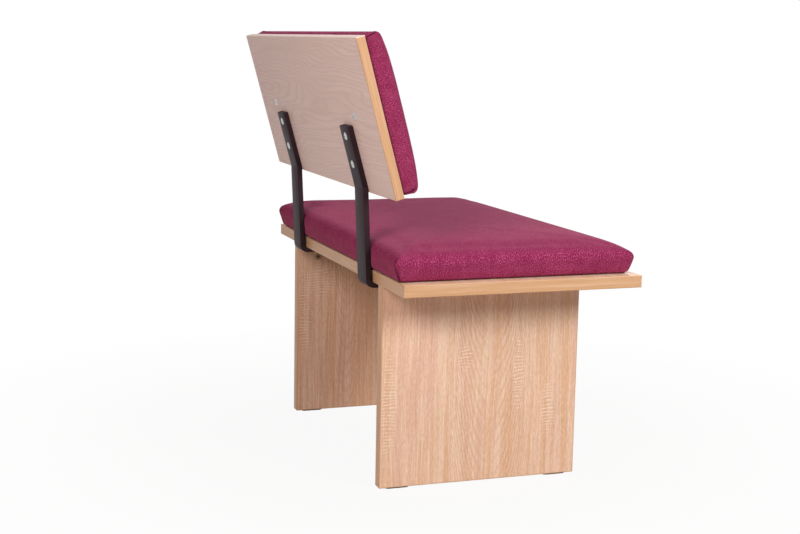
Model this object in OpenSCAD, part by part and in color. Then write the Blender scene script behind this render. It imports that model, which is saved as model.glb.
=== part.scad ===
// Bench with a tilted backrest: slab legs, a seat board, two bent flat bars and two upholstered pads.
// Units are millimetres. +Z is up, the sitter faces -Y and the backrest is on the +Y side.
// Left and right are as seen from the front. The origin is under the middle of the whole bench,
// level with the undersides of the glides.

/* [Seat board] */
// Length of the seat board from end to end
seat_w = 800; // [760:10:1400]
// Depth of the seat board from front to rear
seat_d = 450; // [430:5:520]
// Thickness of the seat board and of the leg panels
board_t = 22; // [21:1:28]

/* [Edge bands] */
// Thickness of the edge band on every board
band_t = 2; // [1.6:0.1:3]
// Radius of the long edges of each band
edge_r = 1.5; // [0.5:0.1:1.6]
// Radius of each board's outline at its corners
corner_r = 2; // [1:0.5:5]

/* [Legs] */
// Height of a leg panel without its glides
leg_h = 369; // [330:1:420]
// Depth of a leg panel from front to rear
leg_d = 385; // [330:1:410]
// From the end of the seat board to the outer face of the leg
leg_inset = 114; // [95:1:140]
// From the rear edge of the seat board forward to the rear edge of the leg
leg_rear_gap = 1; // [0:0.5:10]

/* [Glides] */
// Thickness of a glide below the leg
glide_t = 2.5; // [2:0.5:5]
// Length of a glide from front to rear
glide_l = 46; // [35:1:60]
// Width of a glide
glide_w = 16; // [12:1:18]
// From the leg's front or rear edge to the glide
glide_edge = 13.5; // [8:0.5:30]
// Diameter of the two pins of a glide
glide_pin_d = 4; // [3:0.5:5]
// Height of the pins above the glide's plate
glide_pin_h = 10; // [8:1:14]
// Distance between the two pins of a glide
glide_pin_pitch = 24; // [16:1:28]

/* [Leg joints] */
// From the leg's front or rear edge to the cam lock
cam_edge = 46; // [42:1:70]
// From the underside of the seat board down to the centre of the cam lock
cam_drop = 32; // [22:1:36]
// Diameter of the cam lock's bore
cam_d = 15; // [15:1:16]
// Depth of the cam lock's bore
cam_depth = 14; // [13.5:0.5:16]
// Diameter of the bore for the cam bolt in the top of the leg
bolt_bore_d = 8; // [7.5:0.5:9]
// Diameter of the cam bolt's threaded end
bolt_thread_d = 5; // [4:0.5:6]
// Length of the cam bolt's threaded end inside the seat board
bolt_thread_l = 11; // [9:1:13]
// Diameter of the cam bolt's neck
bolt_neck_d = 4.5; // [4:0.5:5]
// Diameter of a wooden dowel
dowel_d = 8; // [6:1:10]
// Depth to which a dowel stands in the seat board
dowel_up = 10; // [8:1:12]
// Depth to which a dowel stands in the leg
dowel_down = 20; // [16:1:26]
// From the cam bolt's axis to the dowel's axis
dowel_pitch = 32; // [24:1:50]

/* [Backrest board] */
// From the end of the seat board to the end of the backrest board
back_inset = 20; // [0:1:40]
// Height of the backrest board along its slope
back_h = 282; // [240:1:340]
// Thickness of the backrest board
back_t = 16; // [16:1:22]
// Angle by which the backrest board leans back
back_lean = 15.5; // [10:0.5:20]
// Height of the backrest board's lower edge above the seat board
back_gap = 140; // [110:1:180]

/* [Back brackets] */
// Width of the flat bar
bar_w = 50; // [40:1:60]
// Thickness of the flat bar
bar_t = 10; // [8:0.5:10]
// From the inner face of the leg to the side of the bracket
bar_leg_gap = 24; // [15:1:40]
// Inner radius of the bend below the seat
bend_r = 5; // [5:0.5:8]
// Angle by which the upright part of the bracket leans back
bar_lean = 3.2; // [0:0.2:6]
// From the backrest board's lower edge up to the kink
kink_up = 13; // [8:1:24]
// Radius of the bar's corners at its two ends
bar_corner_r = 3; // [1:0.5:6]
// From the backrest board's lower edge to the lower screw
back_screw_up = 53; // [45:1:60]
// Distance between the two screws on the backrest
back_screw_pitch = 52; // [40:1:70]
// From the upper screw to the upper end of the bar
bar_top_margin = 18; // [12:1:24]
// From the rear edge of the seat board to the first screw of the foot
foot_screw_in = 50; // [40:1:70]
// Distance between the screws of the foot
foot_screw_pitch = 60; // [40:1:70]
// Number of screws in each foot
foot_screws = 3; // [2:1:3]
// From the last screw to the front end of the foot
foot_margin = 18; // [14:1:24]

/* [Screws and nuts] */
// Diameter of the screw shanks
screw_d = 6; // [5:0.5:6]
// Diameter of the wide domed screw heads
head_d = 15; // [12:0.5:16]
// Height of the domed screw heads
head_h = 3.2; // [2.5:0.1:4]
// Diameter of the clearance holes for the screws
screw_hole_d = 7; // [6.5:0.1:7.5]
// Length of the screws that hold the brackets to the backrest
back_screw_l = 25; // [22:1:26]
// Length of the screws that hold the brackets to the seat
foot_screw_l = 30; // [26:1:32]
// Length of the screws that hold the back pad
back_pad_screw_l = 25; // [23:1:27]
// Length of the screws that hold the seat pad
seat_pad_screw_l = 30; // [29:1:33]
// Diameter of a drive-in nut's flange
nut_flange_d = 19; // [16:0.5:20]
// Thickness of a drive-in nut's flange
nut_flange_t = 1.5; // [1:0.1:1.8]
// Outer diameter of a drive-in nut's barrel
nut_barrel_d = 7.8; // [7.6:0.1:8.5]
// Length of a drive-in nut's barrel
nut_barrel_l = 7.5; // [6:0.5:7.5]

/* [Pad bases] */
// Thickness of the plywood base of each pad
base_t = 10; // [10:0.5:12]
// Corner radius of the plywood bases
base_r = 12; // [8:1:20]
// From the board's surface to the plywood base, where the turned-under hem lies
base_gap = 2; // [1.9:0.1:3]
// Thickness of the cover fabric
fabric_t = 1.2; // [0.8:0.1:1.2]
// Width of the hem turned under the base
hem_w = 25; // [20:1:35]

/* [Seat pad] */
// From the end of the seat board to the base of the seat pad
seat_pad_end_inset = 25; // [15:1:35]
// From the front edge of the seat board to the base of the seat pad
seat_pad_front_inset = 18; // [10:1:30]
// From the rear edge of the seat board to the base of the seat pad
seat_pad_rear_inset = 2; // [2:0.5:12]
// How far the sides of the seat pad swell out past its base
seat_pad_bulge = 6.5; // [4:0.5:7]
// Height of the widest line of the seat pad above the board
seat_pad_waist = 34; // [28:1:45]
// Rise of the seat pad's shoulder above the widest line
seat_pad_shoulder = 15; // [10:1:24]
// Rise of the seat pad's crown above its shoulder
seat_pad_crown = 12; // [4:1:20]
// How far the seat pad's corners drop below its edges
seat_pad_drop = 8; // [2:1:10]
// From the leg's outer face outwards to the seat pad's screws
seat_pad_screw_out = 45; // [30:1:50]
// From the middle of the seat pad forwards and backwards to its screws
seat_pad_screw_half = 130; // [90:1:160]

/* [Back pad] */
// From the end of the backrest board to the base of the back pad
back_pad_end_inset = 10; // [6:1:25]
// From the lower and upper edges of the backrest board to the base of the back pad
back_pad_edge_inset = 6; // [5:1:20]
// How far the sides of the back pad swell out past its base
back_pad_bulge = 3.5; // [2:0.5:5]
// Height of the widest line of the back pad above the backrest board
back_pad_waist = 23; // [20:1:30]
// Rise of the back pad's shoulder above the widest line
back_pad_shoulder = 16; // [10:1:20]
// Rise of the back pad's crown above its shoulder
back_pad_crown = 7; // [3:1:14]
// How far the back pad's corners drop below its edges
back_pad_drop = 7; // [2:1:9]
// From the middle of the bracket outwards to the back pad's screw
back_pad_screw_out = 50; // [40:1:60]

/* [Pad seams and staples] */
// Depth of the sewn crease at each pad's corners
seam_depth = 1.8; // [0.5:0.1:2.5]
// Run over which a pad's shoulder rounds inwards from its widest line
shoulder_run = 24; // [16:1:30]
// Distance over which the crown rises from the shoulder
crown_run = 50; // [30:5:80]
// Distance over which a pad's corner drop fades along its sides
drop_run = 25; // [15:1:40]
// Length of a staple's crown
staple_w = 10; // [8:1:12]
// Length of a staple's legs
staple_l = 6.5; // [5:0.5:8]
// Thickness of the staple wire
staple_t = 0.7; // [0.5:0.1:0.7]
// From the edge of the base to the staples
staple_in = 12; // [8:1:16]
// Longest distance between neighbouring staples
staple_pitch = 70; // [50:5:120]

/* [Fits] */
// Clearance on each side of a piece in its bore or recess
fit_gap = 0.1; // [0.05:0.01:0.2]
// Clearance between a pad's fabric and what it covers
soft_gap = 0.3; // [0.2:0.05:0.5]

/* [Hidden] */

// Colours of the finishes
decor = [0.87, 0.75, 0.66];
band_honey = [0.88, 0.72, 0.53];
steel_black = [0.16, 0.15, 0.16];
zinc = [0.80, 0.80, 0.80];
zinc_cast = [0.70, 0.69, 0.66];
beech = [0.85, 0.70, 0.50];
plywood = [0.84, 0.72, 0.54];
foam_cream = [0.93, 0.89, 0.74];
fabric_raspberry = [0.60, 0.20, 0.34];
glide_brown = [0.38, 0.29, 0.24];

// Sides of full circles, a length that clears any cut, and what a bend's circles reach past its faces
round_fn = 64;
over = 1;
blend = 0.02;

// Heights of the boards
leg_top = glide_t + leg_h;
seat_top = leg_top + board_t;
seat_mid_z = leg_top + board_t / 2;

// Side view of a bracket, measured from the rear lower edge of the seat board: y backwards, z upwards.
// The bend's centre is the centre of the seat edge's rounding, raised to the bend's own radius.
function along(lean) = [sin(lean), cos(lean)];
function square_to(lean) = [cos(lean), -sin(lean)];
bend_c = [-edge_r, bend_r];
upright_start = bend_c + bend_r * square_to(bar_lean);
kink_z = board_t + back_gap + kink_up * cos(back_lean);
upright_l = (kink_z - upright_start[1]) / cos(bar_lean);
kink_at = upright_start + upright_l * along(bar_lean);
back_foot = kink_at - kink_up * along(back_lean);
bar_up = back_screw_up + back_screw_pitch + bar_top_margin;
foot_l = foot_screw_in + (foot_screws - 1) * foot_screw_pitch + foot_margin;

// Depth of the whole bench: the backrest's upper rear edge reaches furthest back
back_reach = back_foot[0] + (back_h - edge_r) * sin(back_lean) - edge_r * cos(back_lean) + edge_r;
total_d = seat_d + back_reach;
seat_front = -total_d / 2;
seat_rear = seat_front + seat_d;
seat_mid_y = seat_front + seat_d / 2;

// Places of the legs
leg_x = seat_w / 2 - leg_inset - board_t / 2;
leg_rear = seat_rear - leg_rear_gap;
leg_front = leg_rear - leg_d;
leg_mid_y = (leg_front + leg_rear) / 2;
cam_ys = [leg_front + cam_edge, leg_rear - cam_edge];
dowel_ys = [cam_ys[0] + dowel_pitch, cam_ys[1] - dowel_pitch];
glide_ys = [leg_front + glide_edge + glide_l / 2, leg_rear - glide_edge - glide_l / 2];

// Places of the brackets and of their screws
bar_x = leg_x - board_t / 2 - bar_leg_gap - bar_w / 2;
foot_ys = [for (k = [0:foot_screws - 1]) seat_rear - foot_screw_in - k * foot_screw_pitch];
back_screw_ups = [back_screw_up, back_screw_up + back_screw_pitch];

// Sizes and places of the pads
back_w = seat_w - 2 * back_inset;
seat_base_w = seat_w - 2 * seat_pad_end_inset;
seat_base_d = seat_d - seat_pad_front_inset - seat_pad_rear_inset;
seat_pad_y = seat_front + seat_pad_front_inset + seat_base_d / 2;
back_base_w = back_w - 2 * back_pad_end_inset;
back_base_d = back_h - 2 * back_pad_edge_inset;
seat_screw_xs = [-leg_x - board_t / 2 - seat_pad_screw_out, leg_x + board_t / 2 + seat_pad_screw_out];
seat_screw_ys = [seat_pad_y - seat_pad_screw_half, seat_pad_y + seat_pad_screw_half];
back_screw_xs = [-bar_x - back_pad_screw_out, bar_x + back_pad_screw_out];
base_top = base_gap + base_t;
side_off = fabric_t + soft_gap;
hem_under = base_gap - fabric_t;

// Drive-in nut: four prongs stand under the flange
nut_prongs = 4;
prong_w = 2.4;
prong_t = 1;
prong_l = 5;
prong_r = 7.6;
nut_recess = nut_flange_t + fit_gap;

// Cross recess in the screw heads and cam locks
recess_w = 1.2;
recess_l = 6;
recess_deep = 1.9;
cam_recess_l = 5;

// Cam bolt: length of its head, and the free length above and below the head in the cam's pocket
bolt_head_l = 4;
head_play = 0.3;

// Frames of reference

// Backrest frame: x along the bench, y backwards out of the rear face, z up the slope from the lower edge
module on_back() {
    translate([0, seat_rear + back_foot[0], leg_top + back_foot[1]])
    rotate([-back_lean, 0, 0])
    children();
}

// Frame of the back pad: z out of the backrest's front face, y up the slope from the pad's middle
module on_back_front() {
    on_back()
    translate([0, -back_t, back_h / 2])
    rotate([90, 0, 0])
    children();
}

module on_seat_pad() {
    translate([0, seat_pad_y, seat_top]) children();
}

// Boards and edge bands

module rounded_rect(w, d, r) {
    square([w - 2 * r, d], center = true);
    square([w, d - 2 * r], center = true);
    for (x = [-1, 1], y = [-1, 1])
        translate([x * (w / 2 - r), y * (d / 2 - r)]) circle(r, $fn = round_fn);
}

// Section of a band: x outwards from the board's core, y across the board's thickness
module band_section(width) {
    intersection() {
        translate([0, -width / 2]) square([band_t, width]);
        union() {
            translate([-over, -width / 2]) square([over + band_t - edge_r, width]);
            translate([-over, edge_r - width / 2]) square([over + band_t, width - 2 * edge_r]);
            for (side = [-1, 1])
                translate([band_t - edge_r, side * (width / 2 - edge_r)]) circle(edge_r, $fn = 32);
        }
    }
}

// Band along X with its outer face towards +Y
module edge_band(length, width) {
    translate([-length / 2, 0, 0])
    rotate([90, 0, 90])
    linear_extrude(length) band_section(width);
}

// Band on a long edge of a flat board: outline rounded at the board's corners, z across the board
module long_band(length, depth, width) {
    intersection() {
        translate([0, depth / 2 - band_t, 0]) edge_band(length, width);
        translate([0, 0, -width]) linear_extrude(2 * width) rounded_rect(length, depth, corner_r);
    }
}

// Band between the long bands, with its outer face towards +X
module short_band(length, depth, width) {
    translate([length / 2 - band_t, 0, 0])
    rotate([0, 0, -90])
    edge_band(depth - 2 * band_t, width);
}

// Cuts and fasteners

// Bore of diameter d that opens at z = 0 and goes down by deep
module bore(d, deep) {
    translate([0, 0, -deep]) cylinder(d = d, h = deep + over, $fn = round_fn);
}

module cross_recess(length, deep) {
    for (turn = [0, 90])
        rotate([0, 0, turn])
        translate([-length / 2, -recess_w / 2, -deep])
        cube([length, recess_w, deep + over]);
}

// Domed screw: the head's seat is at z = 0, the head stands up and the shank goes down
module screw(length) {
    dome_r = (head_d * head_d / 4 + head_h * head_h) / (2 * head_h);
    rim_d = head_d - 0.6;
    color(zinc)
    difference() {
        union() {
            intersection() {
                translate([0, 0, head_h - dome_r]) sphere(dome_r, $fn = 2 * round_fn);
                cylinder(d = rim_d, h = head_h + over, $fn = round_fn);
            }
            translate([0, 0, -length]) cylinder(d = screw_d, h = length + over, $fn = round_fn);
        }
        translate([0, 0, head_h]) cross_recess(recess_l, recess_deep);
    }
}

// Drive-in nut: the flange's upper face is just below z = 0 and the barrel points down
module nut() {
    color(zinc)
    translate([0, 0, -nut_recess])
    difference() {
        union() {
            cylinder(d = nut_flange_d, h = nut_flange_t, $fn = round_fn);
            translate([0, 0, -nut_barrel_l])
            cylinder(d = nut_barrel_d, h = nut_barrel_l + nut_flange_t / 2, $fn = round_fn);
            for (k = [0:nut_prongs - 1])
                rotate([0, 0, k * 360 / nut_prongs])
                translate([prong_r - prong_t / 2, -prong_w / 2, -prong_l])
                cube([prong_t, prong_w, prong_l + nut_flange_t / 2]);
        }
        translate([0, 0, -nut_barrel_l - over])
        cylinder(d = screw_d + 2 * fit_gap, h = nut_barrel_l + nut_flange_t + 2 * over, $fn = round_fn);
    }
}

// The space that a nut takes in a board whose surface is at z = 0, with the screw's hole below it
module nut_seat(deep) {
    bore(nut_flange_d + 2 * fit_gap, nut_recess);
    bore(nut_barrel_d + 2 * fit_gap, nut_recess + nut_barrel_l + fit_gap);
    bore(screw_hole_d, deep + over);
    for (k = [0:nut_prongs - 1])
        rotate([0, 0, k * 360 / nut_prongs])
        translate([prong_r - prong_t / 2 - fit_gap, -prong_w / 2 - fit_gap, -nut_recess - prong_l - fit_gap])
        cube([prong_t + 2 * fit_gap, prong_w + 2 * fit_gap, prong_l + over]);
}

// Seat board

module seat_place() {
    translate([0, seat_mid_y, seat_mid_z]) children();
}

module seat_board() {
    core_w = seat_w - 2 * band_t;
    core_d = seat_d - 2 * band_t;
    color(decor)
    difference() {
        seat_place() cube([core_w, core_d, board_t], center = true);
        // Nuts for the bracket feet are sunk in the top
        for (x = [-bar_x, bar_x], y = foot_ys)
            translate([x, y, seat_top]) nut_seat(board_t);
        // Screws of the seat pad go right through
        for (x = seat_screw_xs, y = seat_screw_ys)
            translate([x, y, seat_top]) bore(screw_hole_d, board_t + over);
        // Cam bolts and dowels enter from below
        for (x = [-leg_x, leg_x]) {
            for (y = cam_ys)
                translate([x, y, leg_top - over])
                cylinder(d = bolt_thread_d + 2 * fit_gap, h = bolt_thread_l + fit_gap + over, $fn = round_fn);
            for (y = dowel_ys)
                translate([x, y, leg_top - over])
                cylinder(d = dowel_d + 2 * fit_gap, h = dowel_up + fit_gap + over, $fn = round_fn);
        }
    }
}

module seat_band_rear() {
    color(band_honey) seat_place() long_band(seat_w, seat_d, board_t);
}

module seat_band_front() {
    color(band_honey) seat_place() rotate([0, 0, 180]) long_band(seat_w, seat_d, board_t);
}

module seat_band_right() {
    color(band_honey) seat_place() short_band(seat_w, seat_d, board_t);
}

module seat_band_left() {
    color(band_honey) seat_place() rotate([0, 0, 180]) short_band(seat_w, seat_d, board_t);
}

// Legs

// Leg frame: x up the leg, y backwards, z across the panel, origin in the panel's middle
module leg_place(side) {
    translate([side * leg_x, leg_mid_y, glide_t + leg_h / 2])
    rotate([0, -90, 0])
    children();
}

module leg_panel(side) {
    color(decor)
    difference() {
        translate([side * leg_x - board_t / 2, leg_front + band_t, glide_t + band_t])
        cube([board_t, leg_d - 2 * band_t, leg_h - band_t]);
        for (y = cam_ys) {
            translate([side * (leg_x - board_t / 2), y, leg_top - cam_drop])
            rotate([0, -side * 90, 0]) rotate([0, 0, 45]) bore(cam_d, cam_depth);
            translate([side * leg_x, y, leg_top])
            bore(bolt_bore_d, cam_drop + bolt_head_l / 2 + head_play);
        }
        for (y = dowel_ys)
            translate([side * leg_x, y, leg_top]) bore(dowel_d + 2 * fit_gap, dowel_down + fit_gap);
        glide_pin_bores(side);
    }
}

module glide_pin_bores(side) {
    for (y = glide_ys, step = [-1, 1])
        translate([side * leg_x, y + step * glide_pin_pitch / 2, glide_t - over])
        cylinder(d = glide_pin_d + 2 * fit_gap, h = glide_pin_h + fit_gap + over, $fn = round_fn);
}

module leg_band_upright(side, turn) {
    // The upright bands run the whole height, and only their lower corners are rounded
    color(band_honey)
    leg_place(side)
    intersection() {
        rotate([turn, 0, 0]) translate([0, leg_d / 2 - band_t, 0]) edge_band(leg_h, board_t);
        translate([corner_r, 0, -board_t])
        linear_extrude(2 * board_t) rounded_rect(leg_h + 2 * corner_r, leg_d, corner_r);
    }
}

module leg_band_bottom(side) {
    color(band_honey)
    difference() {
        leg_place(side) rotate([0, 0, 180]) short_band(leg_h, leg_d, board_t);
        glide_pin_bores(side);
    }
}

module glide(side, y) {
    color(glide_brown)
    translate([side * leg_x, y, 0]) {
        linear_extrude(glide_t) {
            square([glide_w, glide_l - glide_w], center = true);
            for (end = [-1, 1])
                translate([0, end * (glide_l - glide_w) / 2]) circle(d = glide_w, $fn = round_fn);
        }
        for (step = [-1, 1])
            translate([0, step * glide_pin_pitch / 2, glide_t / 2])
            cylinder(d = glide_pin_d, h = glide_pin_h + glide_t / 2, $fn = round_fn);
    }
}

// Leg joints

// Cam lock: its face is at z = 0 and looks up, and the bolt enters it along -x
module cam_lock() {
    body_d = cam_d - 2 * fit_gap;
    body_h = cam_depth - 2 * fit_gap;
    ring_d = 0.75 * cam_d;
    ring_w = 0.8;
    ring_deep = 0.5;
    color(zinc_cast)
    difference() {
        translate([0, 0, -body_h]) cylinder(d = body_d, h = body_h, $fn = round_fn);
        // Pocket for the bolt's head and passage for its neck
        translate([-bolt_head_l / 2 - head_play, 0, -board_t / 2]) rotate([0, 90, 0])
        cylinder(d = bolt_bore_d, h = bolt_head_l + 2 * head_play, $fn = round_fn);
        translate([-cam_d, 0, -board_t / 2]) rotate([0, 90, 0])
        cylinder(d = bolt_neck_d + 4 * fit_gap, h = cam_d, $fn = round_fn);
        cross_recess(cam_recess_l, recess_deep);
        translate([0, 0, -ring_deep])
        difference() {
            cylinder(d = ring_d, h = ring_deep + over, $fn = round_fn);
            translate([0, 0, -over]) cylinder(d = ring_d - 2 * ring_w, h = ring_deep + 3 * over, $fn = round_fn);
        }
    }
}

module cam_locks() {
    for (side = [-1, 1], y = cam_ys)
        translate([side * (leg_x - board_t / 2), y, leg_top - cam_drop])
        rotate([0, -side * 90, 0])
        rotate([0, 0, side < 0 ? 0 : 180])
        cam_lock();
}

// Cam bolt: the thread goes up from z = 0, and the shaft, neck and head go down
module cam_bolt() {
    shaft_d = bolt_bore_d - 4 * fit_gap;
    neck_top = cam_drop - cam_d / 2;
    color(zinc) {
        cylinder(d = bolt_thread_d, h = bolt_thread_l, $fn = round_fn);
        translate([0, 0, -neck_top]) cylinder(d = shaft_d, h = neck_top, $fn = round_fn);
        translate([0, 0, -cam_drop]) cylinder(d = bolt_neck_d, h = cam_drop, $fn = round_fn);
        translate([0, 0, -cam_drop - bolt_head_l / 2])
        cylinder(d = shaft_d - 2 * fit_gap, h = bolt_head_l, $fn = round_fn);
    }
}

module cam_bolts() {
    for (side = [-1, 1], y = cam_ys)
        translate([side * leg_x, y, leg_top]) cam_bolt();
}

module leg_dowels() {
    chamfer = 1;
    full = dowel_up + dowel_down;
    color(beech)
    for (side = [-1, 1], y = dowel_ys)
        translate([side * leg_x, y, leg_top - dowel_down]) {
            cylinder(d1 = dowel_d - 2 * chamfer, d2 = dowel_d, h = chamfer, $fn = round_fn);
            translate([0, 0, chamfer]) cylinder(d = dowel_d, h = full - 2 * chamfer, $fn = round_fn);
            translate([0, 0, full - chamfer])
            cylinder(d1 = dowel_d, d2 = dowel_d - 2 * chamfer, h = chamfer, $fn = round_fn);
        }
}

// Backrest board, built in the backrest frame

// Frame of its outline: x along the bench, y up the slope, z out of the front face, origin in the middle
module back_place() {
    on_back()
    translate([0, -back_t / 2, back_h / 2])
    rotate([90, 0, 0])
    children();
}

module back_board() {
    color(decor)
    difference() {
        back_place() cube([back_w - 2 * band_t, back_h - 2 * band_t, back_t], center = true);
        for (x = [-bar_x, bar_x], up = back_screw_ups)
            on_back_front() translate([x, up - back_h / 2, 0]) nut_seat(back_t);
        for (x = back_screw_xs)
            on_back_front() translate([x, 0, 0]) bore(screw_hole_d, back_t + over);
    }
}

module back_band_top() {
    color(band_honey) back_place() long_band(back_w, back_h, back_t);
}

module back_band_bottom() {
    color(band_honey) back_place() rotate([0, 0, 180]) long_band(back_w, back_h, back_t);
}

module back_band_right() {
    color(band_honey) back_place() short_band(back_w, back_h, back_t);
}

module back_band_left() {
    color(band_honey) back_place() rotate([0, 0, 180]) short_band(back_w, back_h, back_t);
}

// Back brackets

// Side view of the bar, from the rear lower edge of the seat board: foot, bend, kink and upper end.
// The bar starts with a straight-sided corner, and both sides of the bend are then cut round.
module bar_profile() {
    mitre = bar_t / cos((back_lean - bar_lean) / 2) * square_to((back_lean + bar_lean) / 2);
    end = kink_at + (bar_up - kink_up) * along(back_lean);
    outer_r = bend_r + bar_t;
    middle = (90 + bar_lean) / 2;
    corner = bend_c + outer_r / cos(90 - middle) * [cos(middle), -sin(middle)];
    difference() {
        polygon([
            [-foot_l, 0],
            [bend_c[0], 0],
            upright_start,
            kink_at,
            end,
            end + bar_t * square_to(back_lean),
            kink_at + mitre,
            corner,
            [-foot_l, -bar_t]
        ]);
        translate(bend_c) circle(bend_r + blend, $fn = 2 * round_fn);
        translate(bend_c)
        difference() {
            polygon([
                [0, 0],
                [0, -2 * outer_r],
                4 * outer_r * [cos(middle), -sin(middle)],
                2 * outer_r * square_to(bar_lean)
            ]);
            circle(outer_r + blend, $fn = 2 * round_fn);
        }
    }
}

// What a rounded corner takes off a square one that points to +x and +y
module corner_cut(r, h) {
    centre = 0.1 - r;
    difference() {
        translate([-r, -r, 0]) cube([r + over, r + over, h]);
        translate([centre, centre, -over]) cylinder(r = r, h = h + 2 * over, $fn = round_fn);
    }
}

module back_bracket(side) {
    color(steel_black)
    translate([side * bar_x, 0, 0])
    difference() {
        translate([-bar_w / 2, seat_rear, leg_top])
        rotate([90, 0, 90])
        linear_extrude(bar_w) bar_profile();
        for (up = back_screw_ups)
            on_back() translate([0, bar_t, up]) rotate([-90, 0, 0]) bore(screw_hole_d, bar_t + over);
        for (y = foot_ys)
            translate([0, y, leg_top + over]) bore(screw_hole_d, bar_t + 2 * over);
        for (edge = [-1, 1]) {
            on_back()
            translate([edge * bar_w / 2, bar_t + over, bar_up])
            rotate([90, 0, 0]) rotate([0, 0, edge < 0 ? 90 : 0])
            corner_cut(bar_corner_r, bar_t + 2 * over);
            translate([edge * bar_w / 2, seat_rear - foot_l, leg_top - bar_t - over])
            rotate([0, 0, edge < 0 ? 180 : -90])
            corner_cut(bar_corner_r, bar_t + 2 * over);
        }
    }
}

// Screws and nuts of the brackets

module bracket_back_screws() {
    for (x = [-bar_x, bar_x], up = back_screw_ups)
        on_back() translate([x, bar_t, up]) rotate([-90, 0, 0]) screw(back_screw_l);
}

module bracket_back_nuts() {
    for (x = [-bar_x, bar_x], up = back_screw_ups)
        on_back_front() translate([x, up - back_h / 2, 0]) nut();
}

module bracket_seat_screws() {
    for (x = [-bar_x, bar_x], y = foot_ys)
        translate([x, y, leg_top - bar_t]) rotate([180, 0, 0]) screw(foot_screw_l);
}

module bracket_seat_nuts() {
    for (x = [-bar_x, bar_x], y = foot_ys)
        translate([x, y, seat_top]) nut();
}

// Pads: each is built from rings that follow the base's outline.
// A level of a pad is [offset out from the base, share of full size, height, corner drop, crease depth].

corner_steps = 4;
side_marks = 3;
mark_power = 2.5;
corner_soften = 0.35;
lower_steps = 2;
upper_steps = 4;
top_shares = [0.72, 0.36];

// Distances of a side's marks from its two ends, closer together near the ends
function marks(length) = [
    for (k = [1:side_marks]) length / 2 * pow(k / (side_marks + 1), mark_power),
    for (k = [side_marks:-1:1]) length - length / 2 * pow(k / (side_marks + 1), mark_power)
];

function fade(distance) = exp(-distance / drop_run);

// One ring of points, anticlockwise from above, four corners and the four sides between them
function ring(w, d, level) =
    let (
        half = [w / 2 + level[0], d / 2 + level[0]],
        r = base_r + corner_soften * level[0],
        share = level[1]
    )
    [for (q = [0:3])
        let (
            sx = q == 0 || q == 3 ? 1 : -1,
            sy = q < 2 ? 1 : -1,
            centre = [sx * (half[0] - r), sy * (half[1] - r)],
            side = 2 * (q % 2 == 0 ? half[0] - r : half[1] - r),
            turn = 90 * (q + 1),
            from = centre + r * [cos(turn), sin(turn)],
            ahead = [-sin(turn), cos(turn)]
        )
        each [
            for (k = [0:corner_steps])
                let (
                    angle = 90 * q + 90 * k / corner_steps,
                    crease = k == corner_steps / 2 ? level[4] : 0,
                    at = centre + (r - crease) * [cos(angle), sin(angle)]
                )
                [share * at[0], share * at[1], level[2] - level[3]],
            for (s = marks(side))
                let (at = from + s * ahead)
                [share * at[0], share * at[1], level[2] - level[3] * fade(min(s, side - s))]
        ]
    ];

// Half section of a pad from its lower edge to its shoulder, as [offset, height]
function section(pad) = [
    [side_off, base_gap],
    [side_off, base_top],
    for (k = [1:lower_steps])
        [
            side_off + pad_bulge(pad) * sin(90 * k / lower_steps),
            base_top + (pad_waist(pad) - base_top) * k / lower_steps
        ],
    for (k = [1:upper_steps])
        let (angle = 90 * k / upper_steps, run = shoulder_run * (1 - cos(angle)))
        [
            side_off + pad_bulge(pad) - run,
            pad_waist(pad) + pad_shoulder(pad) * sin(angle) + pad_crown(pad) * (1 - exp(-run / crown_run))
        ]
];

// A pad is given as [width, depth, bulge, waist, shoulder, crown, drop]
seat_pad = [
    seat_base_w, seat_base_d,
    seat_pad_bulge, seat_pad_waist, seat_pad_shoulder, seat_pad_crown, seat_pad_drop
];
back_pad = [
    back_base_w, back_base_d,
    back_pad_bulge, back_pad_waist, back_pad_shoulder, back_pad_crown, back_pad_drop
];

function pad_bulge(pad) = pad[2];
function pad_waist(pad) = pad[3];
function pad_shoulder(pad) = pad[4];
function pad_crown(pad) = pad[5];
function pad_drop(pad) = pad[6];

// Direction out of the section at one of its points
function outward(path, k) =
    k == 0 ? [1, 0] :
    k == len(path) - 1 ? [0, 1] :
    let (step = path[k + 1] - path[k - 1]) [step[1], -step[0]] / norm(step);

// Share of the corner drop that reaches a height, and whether the sewn crease reaches it
function drop_share(pad, z) =
    max(0, min(1, (z - base_top) / (pad_waist(pad) + pad_shoulder(pad) - base_top)));
function crease_share(pad, z) = z > base_top && z < pad_waist(pad) + 0.6 * pad_shoulder(pad) ? 1 : 0;

// Levels of a pad's side, from the bottom to the shoulder, moved inwards by inset
function side_levels(pad, inset, first) =
    let (path = section(pad))
    [for (k = [first:len(path) - 1])
        let (
            at = path[k] - inset * outward(path, k),
            drop = pad_drop(pad) * drop_share(pad, path[k][1]),
            crease = seam_depth * crease_share(pad, path[k][1])
        )
        [at[0], 1, at[1], drop, crease]
    ];

// Levels of a pad's top, from the shoulder to near the middle, moved inwards by inset
function top_levels(pad, inset) =
    let (path = section(pad), last = path[len(path) - 1])
    [for (share = top_shares)
        let (away = (1 - share) * pad[1] / 2)
        [last[0], share, crown_height(pad, shoulder_run + away) - inset, pad_drop(pad) * fade(away), 0]
    ];

function crown_height(pad, away) =
    pad_waist(pad) + pad_shoulder(pad) + pad_crown(pad) * (1 - exp(-away / crown_run));

function pole_height(pad, inset) = crown_height(pad, pad[1] / 2 + shoulder_run) - inset;

function reversed(list) = [for (k = [len(list) - 1:-1:0]) list[k]];

// Two triangles between points a and b of one ring and points c and d of the next, split from a to d
function split_quad(a, b, c, d) = [[a, b, d], [a, d, c]];

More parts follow.
